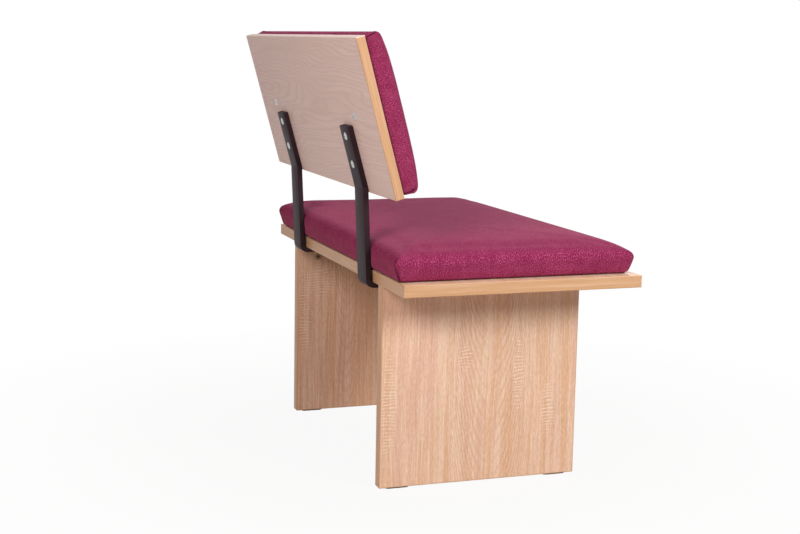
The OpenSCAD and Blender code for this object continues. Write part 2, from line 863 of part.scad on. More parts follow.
// Closed skin through rings listed from an upper pole to a last pole. From the ring numbered turned on,
// the rings come back up, and their quads are split the other way, so that both layers of a cover match.
module skin(rings, first_pole, last_pole, turned) {
    count = len(rings[0]);
    total = len(rings) * count;
    points = concat([for (points = rings) each points], [first_pole, last_pole]);
    faces = [
        for (j = [0:count - 1])
            [total, (j + 1) % count, j],
        for (i = [0:len(rings) - 2], j = [0:count - 1])
            let (next = (j + 1) % count, a = i * count + j, b = i * count + next)
            each i < turned
                ? split_quad(a, b, a + count, b + count)
                : [[a, b, a + count], [b, b + count, a + count]],
        for (j = [0:count - 1])
            [total - count + j, total - count + (j + 1) % count, total + 1]
    ];
    polyhedron(points = points, faces = faces, convexity = 6);
}

// Fabric cover: over the crown, down the sides, under the base and back up inside
module pad_cover(pad) {
    hem_round = fabric_t / 2;
    outer = concat(reversed(top_levels(pad, 0)), reversed(side_levels(pad, 0, 0)));
    hem = [
        [side_off - hem_round, 1, hem_under, 0, 0],
        [-hem_w, 1, hem_under, 0, 0],
        [-hem_w, 1, base_gap, 0, 0],
        [soft_gap, 1, base_gap, 0, 0]
    ];
    inner = concat(side_levels(pad, fabric_t, 1), top_levels(pad, fabric_t));
    rings = [for (level = concat(outer, hem, inner)) ring(pad[0], pad[1], level)];
    color(fabric_raspberry)
    skin(rings, [0, 0, pole_height(pad, 0)], [0, 0, pole_height(pad, fabric_t)], len(outer) + len(hem) - 1);
}

// Foam block: flat on the base, and its own small gap inside the cover everywhere else
module pad_foam(pad) {
    outer = concat(reversed(top_levels(pad, side_off)), reversed(side_levels(pad, side_off, 2)));
    rings = [for (level = concat(outer, [[0, 1, base_top, 0, 0]])) ring(pad[0], pad[1], level)];
    color(foam_cream)
    skin(rings, [0, 0, pole_height(pad, side_off)], [0, 0, base_top], len(rings));
}

// Places of the staples along a side, as distances from its middle
function spread(length) =
    let (reach = length / 2 - 3 * staple_in, gaps = ceil(2 * reach / staple_pitch))
    [for (k = [0:gaps]) -reach + 2 * reach * k / gaps];

module at_staples(pad) {
    for (x = spread(pad[0]), side = [-1, 1])
        translate([x, side * (pad[1] / 2 - staple_in), hem_under - staple_t]) children();
    for (y = spread(pad[1]), side = [-1, 1])
        translate([side * (pad[0] / 2 - staple_in), y, hem_under - staple_t])
        rotate([0, 0, 90]) children();
}

module pad_staples(pad) {
    color(zinc)
    at_staples(pad) {
        translate([-staple_w / 2, -staple_t / 2, 0]) cube([staple_w, staple_t, staple_t]);
        for (side = [-1, 1])
            translate([side * (staple_w - staple_t) / 2 - staple_t / 2, -staple_t / 2, 0])
            cube([staple_t, staple_t, staple_l]);
    }
}

module pad_base(pad, screw_places) {
    slot = staple_t + 2 * fit_gap;
    color(plywood)
    difference() {
        translate([0, 0, base_gap]) linear_extrude(base_t) rounded_rect(pad[0], pad[1], base_r);
        for (place = screw_places)
            translate([place[0], place[1], base_top]) nut_seat(base_t);
        at_staples(pad)
            for (side = [-1, 1])
                translate([side * (staple_w - staple_t) / 2 - slot / 2, -slot / 2, 0])
                cube([slot, slot, staple_l + fit_gap]);
    }
}

// Seat pad

seat_pad_screw_places = [for (x = seat_screw_xs, y = seat_screw_ys) [x, y - seat_pad_y]];
back_pad_screw_places = [for (x = back_screw_xs) [x, 0]];

module seat_pad_base() {
    on_seat_pad() pad_base(seat_pad, seat_pad_screw_places);
}

module seat_pad_foam() {
    on_seat_pad() pad_foam(seat_pad);
}

module seat_pad_cover() {
    on_seat_pad() pad_cover(seat_pad);
}

module seat_pad_staples() {
    on_seat_pad() pad_staples(seat_pad);
}

module seat_pad_screws() {
    for (place = seat_pad_screw_places)
        on_seat_pad() translate([place[0], place[1], -board_t]) rotate([180, 0, 0]) screw(seat_pad_screw_l);
}

module seat_pad_nuts() {
    for (place = seat_pad_screw_places)
        on_seat_pad() translate([place[0], place[1], base_top]) nut();
}

// Back pad

module back_pad_base() {
    on_back_front() pad_base(back_pad, back_pad_screw_places);
}

module back_pad_foam() {
    on_back_front() pad_foam(back_pad);
}

module back_pad_cover() {
    on_back_front() pad_cover(back_pad);
}

module back_pad_staples() {
    on_back_front() pad_staples(back_pad);
}

module back_pad_screws() {
    for (place = back_pad_screw_places)
        on_back_front() translate([place[0], place[1], -back_t]) rotate([180, 0, 0]) screw(back_pad_screw_l);
}

module back_pad_nuts() {
    for (place = back_pad_screw_places)
        on_back_front() translate([place[0], place[1], base_top]) nut();
}

// Named pieces

seat_board();
seat_band_front();
seat_band_rear();
seat_band_left();
seat_band_right();
leg_panel(-1);  // left_leg_panel
leg_band_upright(-1, 180);  // left_leg_band_front
leg_band_upright(-1, 0);  // left_leg_band_rear
leg_band_bottom(-1);  // left_leg_band_bottom
leg_panel(1);  // right_leg_panel
leg_band_upright(1, 180);  // right_leg_band_front
leg_band_upright(1, 0);  // right_leg_band_rear
leg_band_bottom(1);  // right_leg_band_bottom
glide(-1, glide_ys[0]);  // left_front_glide
glide(-1, glide_ys[1]);  // left_rear_glide
glide(1, glide_ys[0]);  // right_front_glide
glide(1, glide_ys[1]);  // right_rear_glide
cam_locks();
cam_bolts();
leg_dowels();
back_board();
back_band_top();
back_band_bottom();
back_band_left();
back_band_right();
back_bracket(-1);  // left_back_bracket
back_bracket(1);  // right_back_bracket
bracket_back_screws();
bracket_back_nuts();
bracket_seat_screws();
bracket_seat_nuts();
seat_pad_base();
seat_pad_foam();
seat_pad_cover();
seat_pad_staples();
seat_pad_screws();
seat_pad_nuts();
back_pad_base();
back_pad_foam();
back_pad_cover();
back_pad_staples();
back_pad_screws();
back_pad_nuts();
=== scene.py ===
"""Bench with a tilted backrest: upholstered pads, bent steel bars, board finishes, stage and camera."""

import math
from collections import namedtuple

import bmesh
import bpy
from bpy.props import FloatProperty, FloatVectorProperty, IntProperty, PointerProperty
from mathutils import Euler, Matrix, Vector


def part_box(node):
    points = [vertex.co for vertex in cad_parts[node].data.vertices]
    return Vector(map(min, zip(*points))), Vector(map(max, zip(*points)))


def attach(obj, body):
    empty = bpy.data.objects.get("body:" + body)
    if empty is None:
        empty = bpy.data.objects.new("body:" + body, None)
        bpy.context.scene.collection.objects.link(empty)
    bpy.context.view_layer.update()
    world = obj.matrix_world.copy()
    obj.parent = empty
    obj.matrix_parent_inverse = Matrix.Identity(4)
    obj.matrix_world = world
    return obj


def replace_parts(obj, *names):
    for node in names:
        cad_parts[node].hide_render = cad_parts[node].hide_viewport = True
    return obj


bl_info = {
    "name": "Bench with backrest",
    "version": (1, 0, 0),
    "blender": (4, 5, 0),
    "location": "3D View > Sidebar > Bench",
    "description": "Pads, bent bars, board finishes and a studio stage for a bench with a tilted backrest",
    "category": "Object",
}

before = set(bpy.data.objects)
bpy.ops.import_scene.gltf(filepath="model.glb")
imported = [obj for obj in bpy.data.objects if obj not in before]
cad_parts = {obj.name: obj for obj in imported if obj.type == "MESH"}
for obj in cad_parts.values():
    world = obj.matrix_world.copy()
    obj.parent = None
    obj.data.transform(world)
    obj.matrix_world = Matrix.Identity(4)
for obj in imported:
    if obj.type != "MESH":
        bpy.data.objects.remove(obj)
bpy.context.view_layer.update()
BODY = "root"

# Lengths up to this count as none, in metres, and the decimals that a length from the frame is rounded to
TINY = 1e-6
DECIMALS = 6
QUARTER_TURN = Matrix.Rotation(math.pi / 2, 4, "X")

# Leans of the bars' upright parts and of the backrest
BAR_LEAN = math.radians(3.2)
BACK_LEAN = math.radians(15.5)

# Directions up along the bars and the backrest, and rearwards out of them
ALONG_UPRIGHT = Vector((0, math.sin(BAR_LEAN), math.cos(BAR_LEAN)))
OUT_OF_UPRIGHT = Vector((0, math.cos(BAR_LEAN), -math.sin(BAR_LEAN)))
ALONG_BACK = Vector((0, math.sin(BACK_LEAN), math.cos(BACK_LEAN)))
OUT_OF_BACK = Vector((0, math.cos(BACK_LEAN), -math.sin(BACK_LEAN)))


def leaning_board(node):
    """Height and thickness of a board that leans with the backrest, worked out from its box."""
    low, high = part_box(node)
    deep, tall = high.y - low.y, high.z - low.z
    height = (tall * math.cos(BACK_LEAN) - deep * math.sin(BACK_LEAN)) / math.cos(2 * BACK_LEAN)
    thickness = (deep * math.cos(BACK_LEAN) - tall * math.sin(BACK_LEAN)) / math.cos(2 * BACK_LEAN)
    return round(height, DECIMALS), round(thickness, DECIMALS)


# Backrest with its edge bands on: the middle of its rear lower edge, its frame there, and the frame in the
# middle of its front face with Z out of that face
BAND_THICK = round(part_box("seat_band_rear")[1].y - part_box("seat_band_rear")[0].y, DECIMALS)
BARE_HEIGHT, BACK_THICK = leaning_board("back_board")
BACK_HEIGHT = BARE_HEIGHT + 2 * BAND_THICK
BARE_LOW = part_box("back_board")[0]
BARE_EDGE = Vector((0, BARE_LOW.y + BACK_THICK * math.cos(BACK_LEAN), BARE_LOW.z))
BACK_EDGE = Vector([round(part, DECIMALS) for part in BARE_EDGE - BAND_THICK * ALONG_BACK])
BACK_FRAME = Matrix.Translation(BACK_EDGE) @ Matrix.Rotation(-BACK_LEAN, 4, "X")
BACK_FRONT = BACK_FRAME @ Matrix.Translation((0, -BACK_THICK, BACK_HEIGHT / 2)) @ QUARTER_TURN

# Where the pads lie
SEAT_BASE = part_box("seat_pad_base")
SEAT_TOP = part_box("seat_board")[1].z
BACK_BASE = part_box("back_pad_base")
BACK_BASE_DEPTH = leaning_board("back_pad_base")[0]

# Turns that bring a board's or a band's grain along Y, with X across the grain and Z through it
UPRIGHT_GRAIN = ((0, 1, 0), (0, 0, 1), (1, 0, 0))
LENGTHWISE_GRAIN = ((0, 1, 0), (1, 0, 0), (0, 0, -1))
BACK_GRAIN = (ALONG_BACK, (1, 0, 0), OUT_OF_BACK)
DEPTHWISE_BAND = ((0, 0, 1), (0, 1, 0), (-1, 0, 0))
BACK_END_BAND = (OUT_OF_BACK, ALONG_BACK, (1, 0, 0))

# Growth arches of a decor. In metres: their middle across the grain, their width, which is how far off its
# middle an arch has fallen by as much, how far they wander, their pitch and how far they reach. core and
# depth are shares of ink, and waves the size of their wandering across and along the grain in millimetres.
Arch = namedtuple("Arch", "middle width wander pitch reach core depth waves", defaults=((60, 240),))

# Decor of a board: the turn to its grain, where its print starts, its arches, its patches of saw marks, the
# share of a pale, cooler grey mixed in as painted light, and how strongly its streaks are printed. A patch is
# its middle across and along the grain and its half sizes, in metres.
Decor = namedtuple("Decor", "turn start arch saw_marks grey vivid", defaults=(0.0, 1.0))
LEFT_LEG_DECOR = Decor(
    UPRIGHT_GRAIN, (0.31, 0.12, 0), Arch(-0.029, 0.02125, 0.05, 0.027, 0.10, 0.25, 0.6),
    (
        (0.166, 0.150, 0.018, 0.115),
        (-0.147, 0.127, 0.018, 0.060),
        (0.020, 0.235, 0.020, 0.030),
        (-0.085, 0.200, 0.014, 0.080),
    ),
)
RIGHT_LEG_DECOR = Decor(
    UPRIGHT_GRAIN, (1.37, 0.55, 0.4), Arch(0.071, 0.010, 0.04, 0.030, 0.08, 0.7, 0.5),
    ((0.126, 0.286, 0.036, 0.046), (0.166, 0.217, 0.018, 0.125), (-0.08, 0.16, 0.02, 0.10)), vivid=1.6,
)
SEAT_DECOR = Decor(
    LENGTHWISE_GRAIN, (0.2, 0.9, 0.3), Arch(-0.02, 0.020, 0.06, 0.027, 0.11, 0.4, 0.45),
    ((-0.16, -0.21, 0.02, 0.12), (0.08, 0.10, 0.02, 0.09)),
)
# The backrest's decor gets 0.55 of the pale grey as painted light
BACK_DECOR = Decor(
    BACK_GRAIN, (0.63, 0.27, 0.7), Arch(0.72, 0.013, 1.3, 0.100, 0.60, 1.0, 0.95, (70, 420)),
    ((0.62, -0.31, 0.02, 0.05), (0.70, 0.20, 0.02, 0.07)), grey=0.55, vivid=1.4,
)
SAW_PITCH = 0.0062

# Photograph's frame, focal length and centre in pixels, and the camera's place in metres and turn in degrees
PHOTO_SIZE = (800, 534)
FOCAL = 1401.31
PRINCIPAL = (344.83, 247.37)
CAMERA_PLACE = (-2.5781, 0.98264, 0.80752)
CAMERA_TURN = (81.413946, -0.719302, -107.576487)


def linear(code):
    """Turns an sRGB hex colour into linear red, green and blue."""
    parts = [int(code[k:k + 2], 16) / 255 for k in (0, 2, 4)]
    return tuple(c / 12.92 if c <= 0.04045 else ((c + 0.055) / 1.055) ** 2.4 for c in parts)


def size(name, description, default):
    """A length in metres that the user can set."""
    return FloatProperty(name=name, description=description, default=default, unit="LENGTH", precision=4)


def colour(name, description, code):
    """A colour that the user can set, given as sRGB hex."""
    return FloatVectorProperty(
        name=name, description=description, default=linear(code), subtype="COLOR", min=0, max=1,
    )


def lamp_power(name, description, default):
    """A lamp's power in watts that the user can set."""
    return FloatProperty(name=name, description=description, default=default, unit="POWER")


class BenchSizes(bpy.types.PropertyGroup):
    """Sizes of the pads and of the bent bars."""

    seat_swell: size("Seat side swell", "How far the seat pad's sides swell past its base", 0.0065)
    seat_waist: size("Seat waist height", "Height of the seat pad's widest line above the board", 0.034)
    seat_shoulder: size("Seat shoulder rise", "Rise of the seat pad's rounded shoulder", 0.015)
    seat_crown: size("Seat crown rise", "Rise of the seat pad's crown above its shoulder", 0.012)
    seat_front_drop: size("Seat front drop", "How far the seat pad's front corners drop", 0.006)
    seat_rear_drop: size("Seat rear drop", "How far the seat pad's rear corners drop", 0.0025)
    seat_ends: size("Seat end swell", "How much further the seat pad's two ends swell", 0.002)
    seat_front: size("Seat front swell", "How much further the seat pad's front swells", 0.003)
    seat_rear: size("Seat rear swell", "How much further the seat pad's rear side swells", 0.003)
    seat_seam: size("Seat seam height", "Height that the seat pad's corner seams reach", 0.043)
    back_swell: size("Back side swell", "How far the back pad's sides swell past its base", 0.0035)
    back_waist: size("Back waist height", "Height of the back pad's widest line above the board", 0.024)
    back_shoulder: size("Back shoulder rise", "Rise of the back pad's rounded shoulder", 0.017)
    back_crown: size("Back crown rise", "Rise of the back pad's crown above its shoulder", 0.0075)
    back_lower_drop: size("Back lower drop", "How far the back pad's lower corners drop", 0.006)
    back_upper_drop: size("Back upper drop", "How far the back pad's upper corners drop", 0.007)
    back_ends: size("Back end swell", "How much further the back pad's two ends swell", 0.0005)
    back_lower: size("Back lower swell", "How much further the back pad's lower side swells", -0.002)
    back_upper: size("Back upper swell", "How much further the back pad's upper side swells", 0.0015)
    back_seam: size("Back seam height", "Height that the back pad's corner seams reach", 0.026)
    seam_lean: size("Seam lean", "How far the leaning corner seams wander round their corner", 0.004)
    seam_depth: size("Corner seam depth", "Depth of the sewn crease at each corner", 0.0024)
    fabric: size("Fabric thickness", "Thickness of the cover fabric", 0.0012)
    mesh_pitch: size("Pad mesh pitch", "Widest mesh spacing on the pads before they are refined", 0.010)
    bar_width: size("Bar width", "Width of the flat bars", 0.050)
    bar_thickness: size("Bar thickness", "Thickness of the flat bars", 0.010)
    bend_radius: size("Bend radius", "Inner radius of the bend under the seat", 0.005)
    kink_radius: size("Kink radius", "Radius of the soft kink below the backrest", 0.030)
    kink_height: size("Kink height", "Height of the kink above the backrest's lower edge, along it", 0.008)
    bar_top: size("Bar top", "Height of the bars' upper ends above the same edge, along it", 0.1235)
    bar_corner: size("Bar corner radius", "Radius of the four corners of the bars' outline", 0.003)
    bar_ease: size("Bar edge easing", "Radius of the bars' long edges", 0.0009)
    inflate_pressure: FloatProperty(name="Inflation pressure", description="Pressure in the pads", default=4)
    inflate_frames: IntProperty(name="Inflation frames", description="Frames of the inflation", default=20)


class BenchColours(bpy.types.PropertyGroup):
    """Colours of the finishes."""

    oak_light: colour("Oak light", "Light streaks of the sawn-oak decor", "E9C8AE")
    oak_mid: colour("Oak middle", "Main tone of the sawn-oak decor", "E0B89E")
    oak_ochre: colour("Oak ochre", "Warmer streaks of the sawn-oak decor", "DBAE8A")
    oak_pink: colour("Oak pink", "Pinker streaks of the sawn-oak decor", "DEB49E")
    oak_line: colour("Oak growth lines", "Growth lines and pores of the decor", "C89A79")
    oak_saw: colour("Oak saw marks", "Pale marks of the saw across the grain", "F3DCC8")
    # Painted light: a pale grey mixed into the backrest's decor and its top band to lighten them
    oak_painted_light: colour("Oak grey", "Cooler grey mixed into the backrest's decor", "FAE6E5")
    band: colour("Edge band", "Main tone of the honey edge band", "CFA177")
    band_deep: colour("Edge band grain", "Grain lines of the edge band", "BD8C60")
    steel: colour("Bar coat", "Black powder coat of the bent bars", "3D2E34")
    zinc: colour("Zinc plate", "Bright zinc plate of the screws", "BEC0BF")
    lacquer: colour("Cam lock lacquer", "Brown lacquer of the cam locks", "C09A7C")
    raspberry: colour("Fabric", "Main raspberry tone of the melange fabric", "992F59")
    raspberry_deep: colour("Fabric deep", "Darker yarns of the melange fabric", "751A41")
    raspberry_light: colour("Fabric light", "Lighter yarns of the melange fabric", "C0648A")
    # Painted shade: the almost black colour of the cloth in the corner seams and at the hem's turn
    raspberry_seam_shade: colour("Fabric in seams", "Melange fabric where it is crowded in a seam", "35071A")
    foam: colour("Foam", "Cream polyurethane foam", "EFE4BE")
    plywood: colour("Plywood", "Birch plywood of the pad bases", "DDBD91")
    beech: colour("Beech", "Beech of the dowels", "D8AE7C")
    glide: colour("Glide", "Grey-brown plastic of the glides", "6B584C")
    floor: colour("Floor", "Pale studio floor and backdrop", "C4BAB2")


class BenchLight(bpy.types.PropertyGroup):
    """Strengths of the studio's lamps."""

    key: lamp_power("Key", "Power of the softbox at the bench's left front", 70)
    rear: lamp_power("Rear", "Power of the softbox at its left rear", 53)
    fill: lamp_power("Fill", "Power of the softbox at its right front", 26)
    top: lamp_power("Top", "Power of the overhead softbox", 15)
    room: FloatProperty(name="Room", description="Light of the room, where 1 is white", default=0.02)


# Materials

def add(tree, kind, inputs=None, stops=None, **settings):
    """Adds a shader node with its settings, its ramp stops and its inputs, each linked or set."""
    node = tree.nodes.new("ShaderNode" + kind)
    for key, value in settings.items():
        setattr(node, key, value)
    for k, (place, tint) in enumerate(stops or ()):
        elements = node.color_ramp.elements
        element = elements[k] if k < len(elements) else elements.new(place)
        element.position = place
        element.color = tint
    for key, value in (inputs or {}).items():
        if isinstance(value, bpy.types.NodeSocket):
            tree.links.new(value, node.inputs[key])
        else:
            node.inputs[key].default_value = value
    return node


def finish(name, **constants):
    """A new material: the material, its node tree and its shader with constant sockets set."""
    material = bpy.data.materials.new(name)
    material.use_nodes = True
    shader = material.node_tree.nodes["Principled BSDF"]
    for key, value in constants.items():
        shader.inputs[key.replace("_", " ")].default_value = value
    return material, material.node_tree, shader


def shade(value, share=1.0):
    """A colour property as linear red, green, blue and full cover, darkened to a share of itself."""
    return (*(share * part for part in value), 1)


def per_mm(across, along):
    """Pattern frequency per metre from feature sizes in millimetres."""
    return (1000 / across, 1000 / along, 1000 / across)


def grain_places(tree, turn, start=(0, 0, 0)):
    """Object coordinates with X across the grain, Y along it and Z through the board."""
    at = add(tree, "TexCoord").outputs["Object"]
    return add(tree, "Mapping", {
        "Vector": at, "Rotation": Matrix(turn).to_euler(), "Location": start,
    }).outputs[0]


def streaks(tree, at, across, along, detail, roughness=0.5):
    """Uneven streaks of a real size: about across by along millimetres each."""
    scaled = add(tree, "VectorMath", {0: at, 1: per_mm(across, along)}, operation="MULTIPLY").outputs[0]
    return add(tree, "TexNoise", {
        "Vector": scaled, "Scale": 1.0, "Detail": detail, "Roughness": roughness,
    }).outputs["Fac"]


def inked(tree, under, value, low, high, amount, ink):
    """Lays ink over a tone: none where the value is at low, growing to its full amount at high."""
    share = add(tree, "MapRange", {
        "Value": value, "From Min": low, "From Max": high, "To Max": amount,
    }).outputs[0]
    return add(tree, "Mix", {0: share, 6: under, 7: ink}, data_type="RGBA").outputs[2]


def surface(tree, shader, tone, relief, strength, depth, dull=None, smoothest=0.0, dullest=1.0):
    """Gives a shader its tone, its relief and, where a pattern dulls it unevenly, its roughness."""
    bump = add(tree, "Bump", {"Height": relief, "Strength": strength, "Distance": depth}).outputs[0]
    tree.links.new(tone, shader.inputs["Base Color"])
    tree.links.new(bump, shader.inputs["Normal"])
    if dull is not None:
        rough = add(tree, "MapRange", {"Value": dull, "To Min": smoothest, "To Max": dullest}).outputs[0]
        tree.links.new(rough, shader.inputs["Roughness"])


def growth_arches(tree, turned, waves, arch):
    """Lines of the growth arches: parabolas a pitch apart, ever closer together towards their flanks."""
    parts = add(tree, "SeparateXYZ", {0: turned}).outputs
    off = add(tree, "Math", {0: parts["X"], 1: arch.middle}, operation="SUBTRACT").outputs[0]
    square = add(tree, "Math", {0: off, 1: off}, operation="MULTIPLY").outputs[0]
    bowl = add(tree, "Math", {
        0: square, 1: -1 / arch.width, 2: parts["Y"],
    }, operation="MULTIPLY_ADD").outputs[0]
    swell = add(tree, "Math", {0: waves, 1: arch.wander, 2: bowl}, operation="MULTIPLY_ADD").outputs[0]
    phase = add(tree, "Math", {0: swell, 1: 2 * math.pi / arch.pitch}, operation="MULTIPLY").outputs[0]
    wave = add(tree, "Math", {0: phase}, operation="SINE").outputs[0]
    # The ink is full from 35 mm off the middle, and fades out over the last part of the reach
    flank = add(tree, "Math", {0: off}, operation="ABSOLUTE").outputs[0]
    inner = add(tree, "MapRange", {
        "Value": flank, "From Min": 0.0, "From Max": 0.035, "To Min": arch.core,
    }).outputs[0]
    outer = add(tree, "MapRange", {
        "Value": flank, "From Min": 0.6 * arch.reach, "From Max": arch.reach, "To Min": 1.0, "To Max": 0.0,
    }).outputs[0]
    fade = add(tree, "Math", {0: inner, 1: outer}, operation="MULTIPLY").outputs[0]
    return add(tree, "Math", {0: wave, 1: fade}, operation="MULTIPLY").outputs[0]


def saw_marks(tree, turned, patches):
    """Bars across the grain at the saw's pitch, slightly bowed and broken, in patches of the board."""
    along_grain = add(tree, "SeparateXYZ", {0: turned}).outputs["Y"]
    bow = add(tree, "TexNoise", {"Vector": turned, "Scale": 22.0, "Detail": 1.0}).outputs["Fac"]
    bowed = add(tree, "Math", {0: bow, 1: 0.016, 2: along_grain}, operation="MULTIPLY_ADD").outputs[0]
    count = add(tree, "Math", {0: bowed, 1: 2 * math.pi / SAW_PITCH}, operation="MULTIPLY").outputs[0]
    bars = add(tree, "Math", {0: count}, operation="SINE").outputs[0]
    patch = 0.0
    for across, along, half_across, half_along in patches:
        away = add(tree, "VectorMath", {0: turned, 1: (across, along, 0)}, operation="SUBTRACT").outputs[0]
        sized = add(tree, "VectorMath", {
            0: away, 1: (1 / half_across, 1 / half_along, 0),
        }, operation="MULTIPLY").outputs[0]
        far = add(tree, "VectorMath", {0: sized}, operation="LENGTH").outputs["Value"]
        near = add(tree, "MapRange", {
            "Value": far, "From Min": 0.5, "From Max": 1.0, "To Min": 1.0, "To Max": 0.0,
        }).outputs[0]
        patch = add(tree, "Math", {0: near, 1: patch}, operation="MAXIMUM").outputs[0]
    broken = streaks(tree, turned, 8, 4, 2.0)
    split = add(tree, "MapRange", {"Value": broken, "From Min": 0.36, "From Max": 0.56}).outputs[0]
    whole = add(tree, "Math", {0: patch, 1: split}, operation="MULTIPLY").outputs[0]
    return add(tree, "Math", {0: bars, 1: whole}, operation="MULTIPLY").outputs[0]


def sawn_oak(name, decor, colours):
    """Decor paper printed as rough-sawn oak under a matt melamine film.

    The eye gets soft beige, ochre and pink streaks along the grain, one set of nested growth arches,
    short fibres and pores, and patches of pale saw marks across the grain.
    """
    mid, ochre, light = shade(colours.oak_mid), shade(colours.oak_ochre), shade(colours.oak_light)
    line, saw = shade(colours.oak_line), shade(colours.oak_saw)
    material, tree, shader = finish(name, IOR=1.5)
    turned = grain_places(tree, decor.turn)

    # The grain wanders by up to about 5 mm, in waves some 400 mm long
    sway_at = add(tree, "VectorMath", {
        0: turned, 1: per_mm(120, 420), 2: decor.start,
    }, operation="MULTIPLY_ADD").outputs[0]
    sway = add(tree, "TexNoise", {"Vector": sway_at, "Scale": 1.0, "Detail": 2.0}).outputs["Color"]
    pushed = add(tree, "VectorMath", {
        0: sway, 1: (0.018, 0.006, 0), 2: decor.start,
    }, operation="MULTIPLY_ADD").outputs[0]
    grain = add(tree, "VectorMath", {0: turned, 1: pushed}, operation="ADD").outputs[0]

    # Bands of tone 24 mm wide, then streaks 8, 6, 3 and 2.6 mm wide
    tone = add(tree, "ValToRGB", {"Fac": streaks(tree, grain, 24, 700, 1.0)}, stops=(
        (0.36, ochre), (0.44, mid), (0.52, light), (0.58, mid), (0.64, shade(colours.oak_pink)),
    )).outputs["Color"]
    tone = inked(tree, tone, streaks(tree, grain, 8, 300, 2.0), 0.5, 0.66, 0.5 * decor.vivid, ochre)
    tone = inked(tree, tone, streaks(tree, grain, 6, 260, 2.0), 0.52, 0.66, 0.55 * decor.vivid, light)
    tone = inked(tree, tone, streaks(tree, grain, 3, 160, 2.0), 0.5, 0.68, 0.45 * decor.vivid, line)
    tone = inked(tree, tone, streaks(tree, grain, 2.6, 120, 2.0), 0.54, 0.7, 0.5, saw)

    crest = growth_arches(tree, turned, streaks(tree, grain, *decor.arch.waves, 1.0), decor.arch)
    tone = inked(tree, tone, crest, 0.2, 1.0, decor.arch.depth, line)

    # Fibres and pores are 0.3 mm wide in the real decor, and drawn 1.5 and 1.3 mm wide so that they show
    fibre = streaks(tree, grain, 1.5, 9, 3.0, 0.6)
    tone = inked(tree, tone, fibre, 0.5, 0.72, 0.5, line)
    tone = inked(tree, tone, fibre, 0.46, 0.3, 0.45, saw)
    specks = streaks(tree, grain, 1.3, 26, 1.0)
    pore = add(tree, "MapRange", {"Value": specks, "From Min": 0.6, "From Max": 0.74}).outputs[0]
    tone = inked(tree, tone, pore, 0.0, 1.0, 0.4, line)

    sawn = saw_marks(tree, turned, decor.saw_marks)
    tone = inked(tree, tone, sawn, 0.0, 1.0, 0.7, saw)
    tone = inked(tree, tone, sawn, 0.0, -1.0, 0.3, line)
    # Painted light: a share of pale grey lightens the decor
    tone = add(tree, "Mix", {0: decor.grey, 6: tone, 7: shade(colours.oak_painted_light)}, data_type="RGBA").outputs[2]

    # The film is embossed: pores sink and saw marks stand by less than 0.1 mm, and pores are duller
    relief = add(tree, "Math", {0: sawn, 1: pore}, operation="SUBTRACT").outputs[0]
    surface(tree, shader, tone, relief, 0.4, 0.00006, pore, 0.5, 0.64)
    return material


def honey_band(name, turn, start, colours, grey=0.0):
    """Plastic edge band printed as planed oak: even honey colour with fine lines along the band.

    grey is the share of a pale, cooler grey mixed into the print as painted light.
    """
    material, tree, shader = finish(name, IOR=1.5)
    turned = grain_places(tree, turn, start)
    # Grain lines are 0.4 mm wide in the real print, and drawn 1.5 mm wide so that they show
    fine = streaks(tree, turned, 1.5, 70, 3.0)
    broad = streaks(tree, turned, 7, 160, 2.0)
    tone = inked(tree, shade(colours.band), fine, 0.42, 0.68, 0.5, shade(colours.band_deep))
    tone = inked(tree, tone, broad, 0.5, 0.7, 0.35, shade(colours.oak_light))
    # Painted light: a share of pale grey lightens the band
    tone = add(tree, "Mix", {0: grey, 6: tone, 7: shade(colours.oak_painted_light)}, data_type="RGBA").outputs[2]
    surface(tree, shader, tone, fine, 0.25, 0.00006, fine, 0.36, 0.5)
    return material


def powder_coat(colours):
    """Polyester powder coat on steel: black, with a fine orange peel that spreads the highlights."""
    material, tree, shader = finish("black_powder_coat", IOR=1.5, Specular_IOR_Level=0.035)
    at = add(tree, "TexCoord").outputs["Object"]
    # Orange peel about 1.2 mm from crest to crest, and clouds about 40 mm wide
    peel = add(tree, "TexNoise", {"Vector": at, "Scale": 820.0, "Detail": 2.0}).outputs["Fac"]
    cloud = add(tree, "TexNoise", {"Vector": at, "Scale": 24.0, "Detail": 3.0}).outputs["Fac"]
    tone = inked(tree, shade(colours.steel, 0.72), cloud, 0.35, 0.65, 1.0, shade(colours.steel))
    surface(tree, shader, tone, peel, 0.35, 0.00004, cloud, 0.4, 0.52)
    return material


def zinc_plate(colours):
    """Bright zinc plate of screws, nuts and staples: shiny, with faint clouding and a fine grain."""
    material, tree, shader = finish("bright_zinc_plate", Metallic=1.0)
    at = add(tree, "TexCoord").outputs["Object"]
    grain = add(tree, "TexNoise", {"Vector": at, "Scale": 1000 / 1.5, "Detail": 3.0}).outputs["Fac"]
    cloud = add(tree, "TexNoise", {"Vector": at, "Scale": 180.0, "Detail": 2.0}).outputs["Fac"]
    tone = add(tree, "Mix", {
        0: cloud, 6: shade(colours.zinc, 0.8), 7: shade(colours.zinc),
    }, data_type="RGBA").outputs[2]
    surface(tree, shader, tone, grain, 0.3, 0.00003, grain, 0.18, 0.32)
    return material


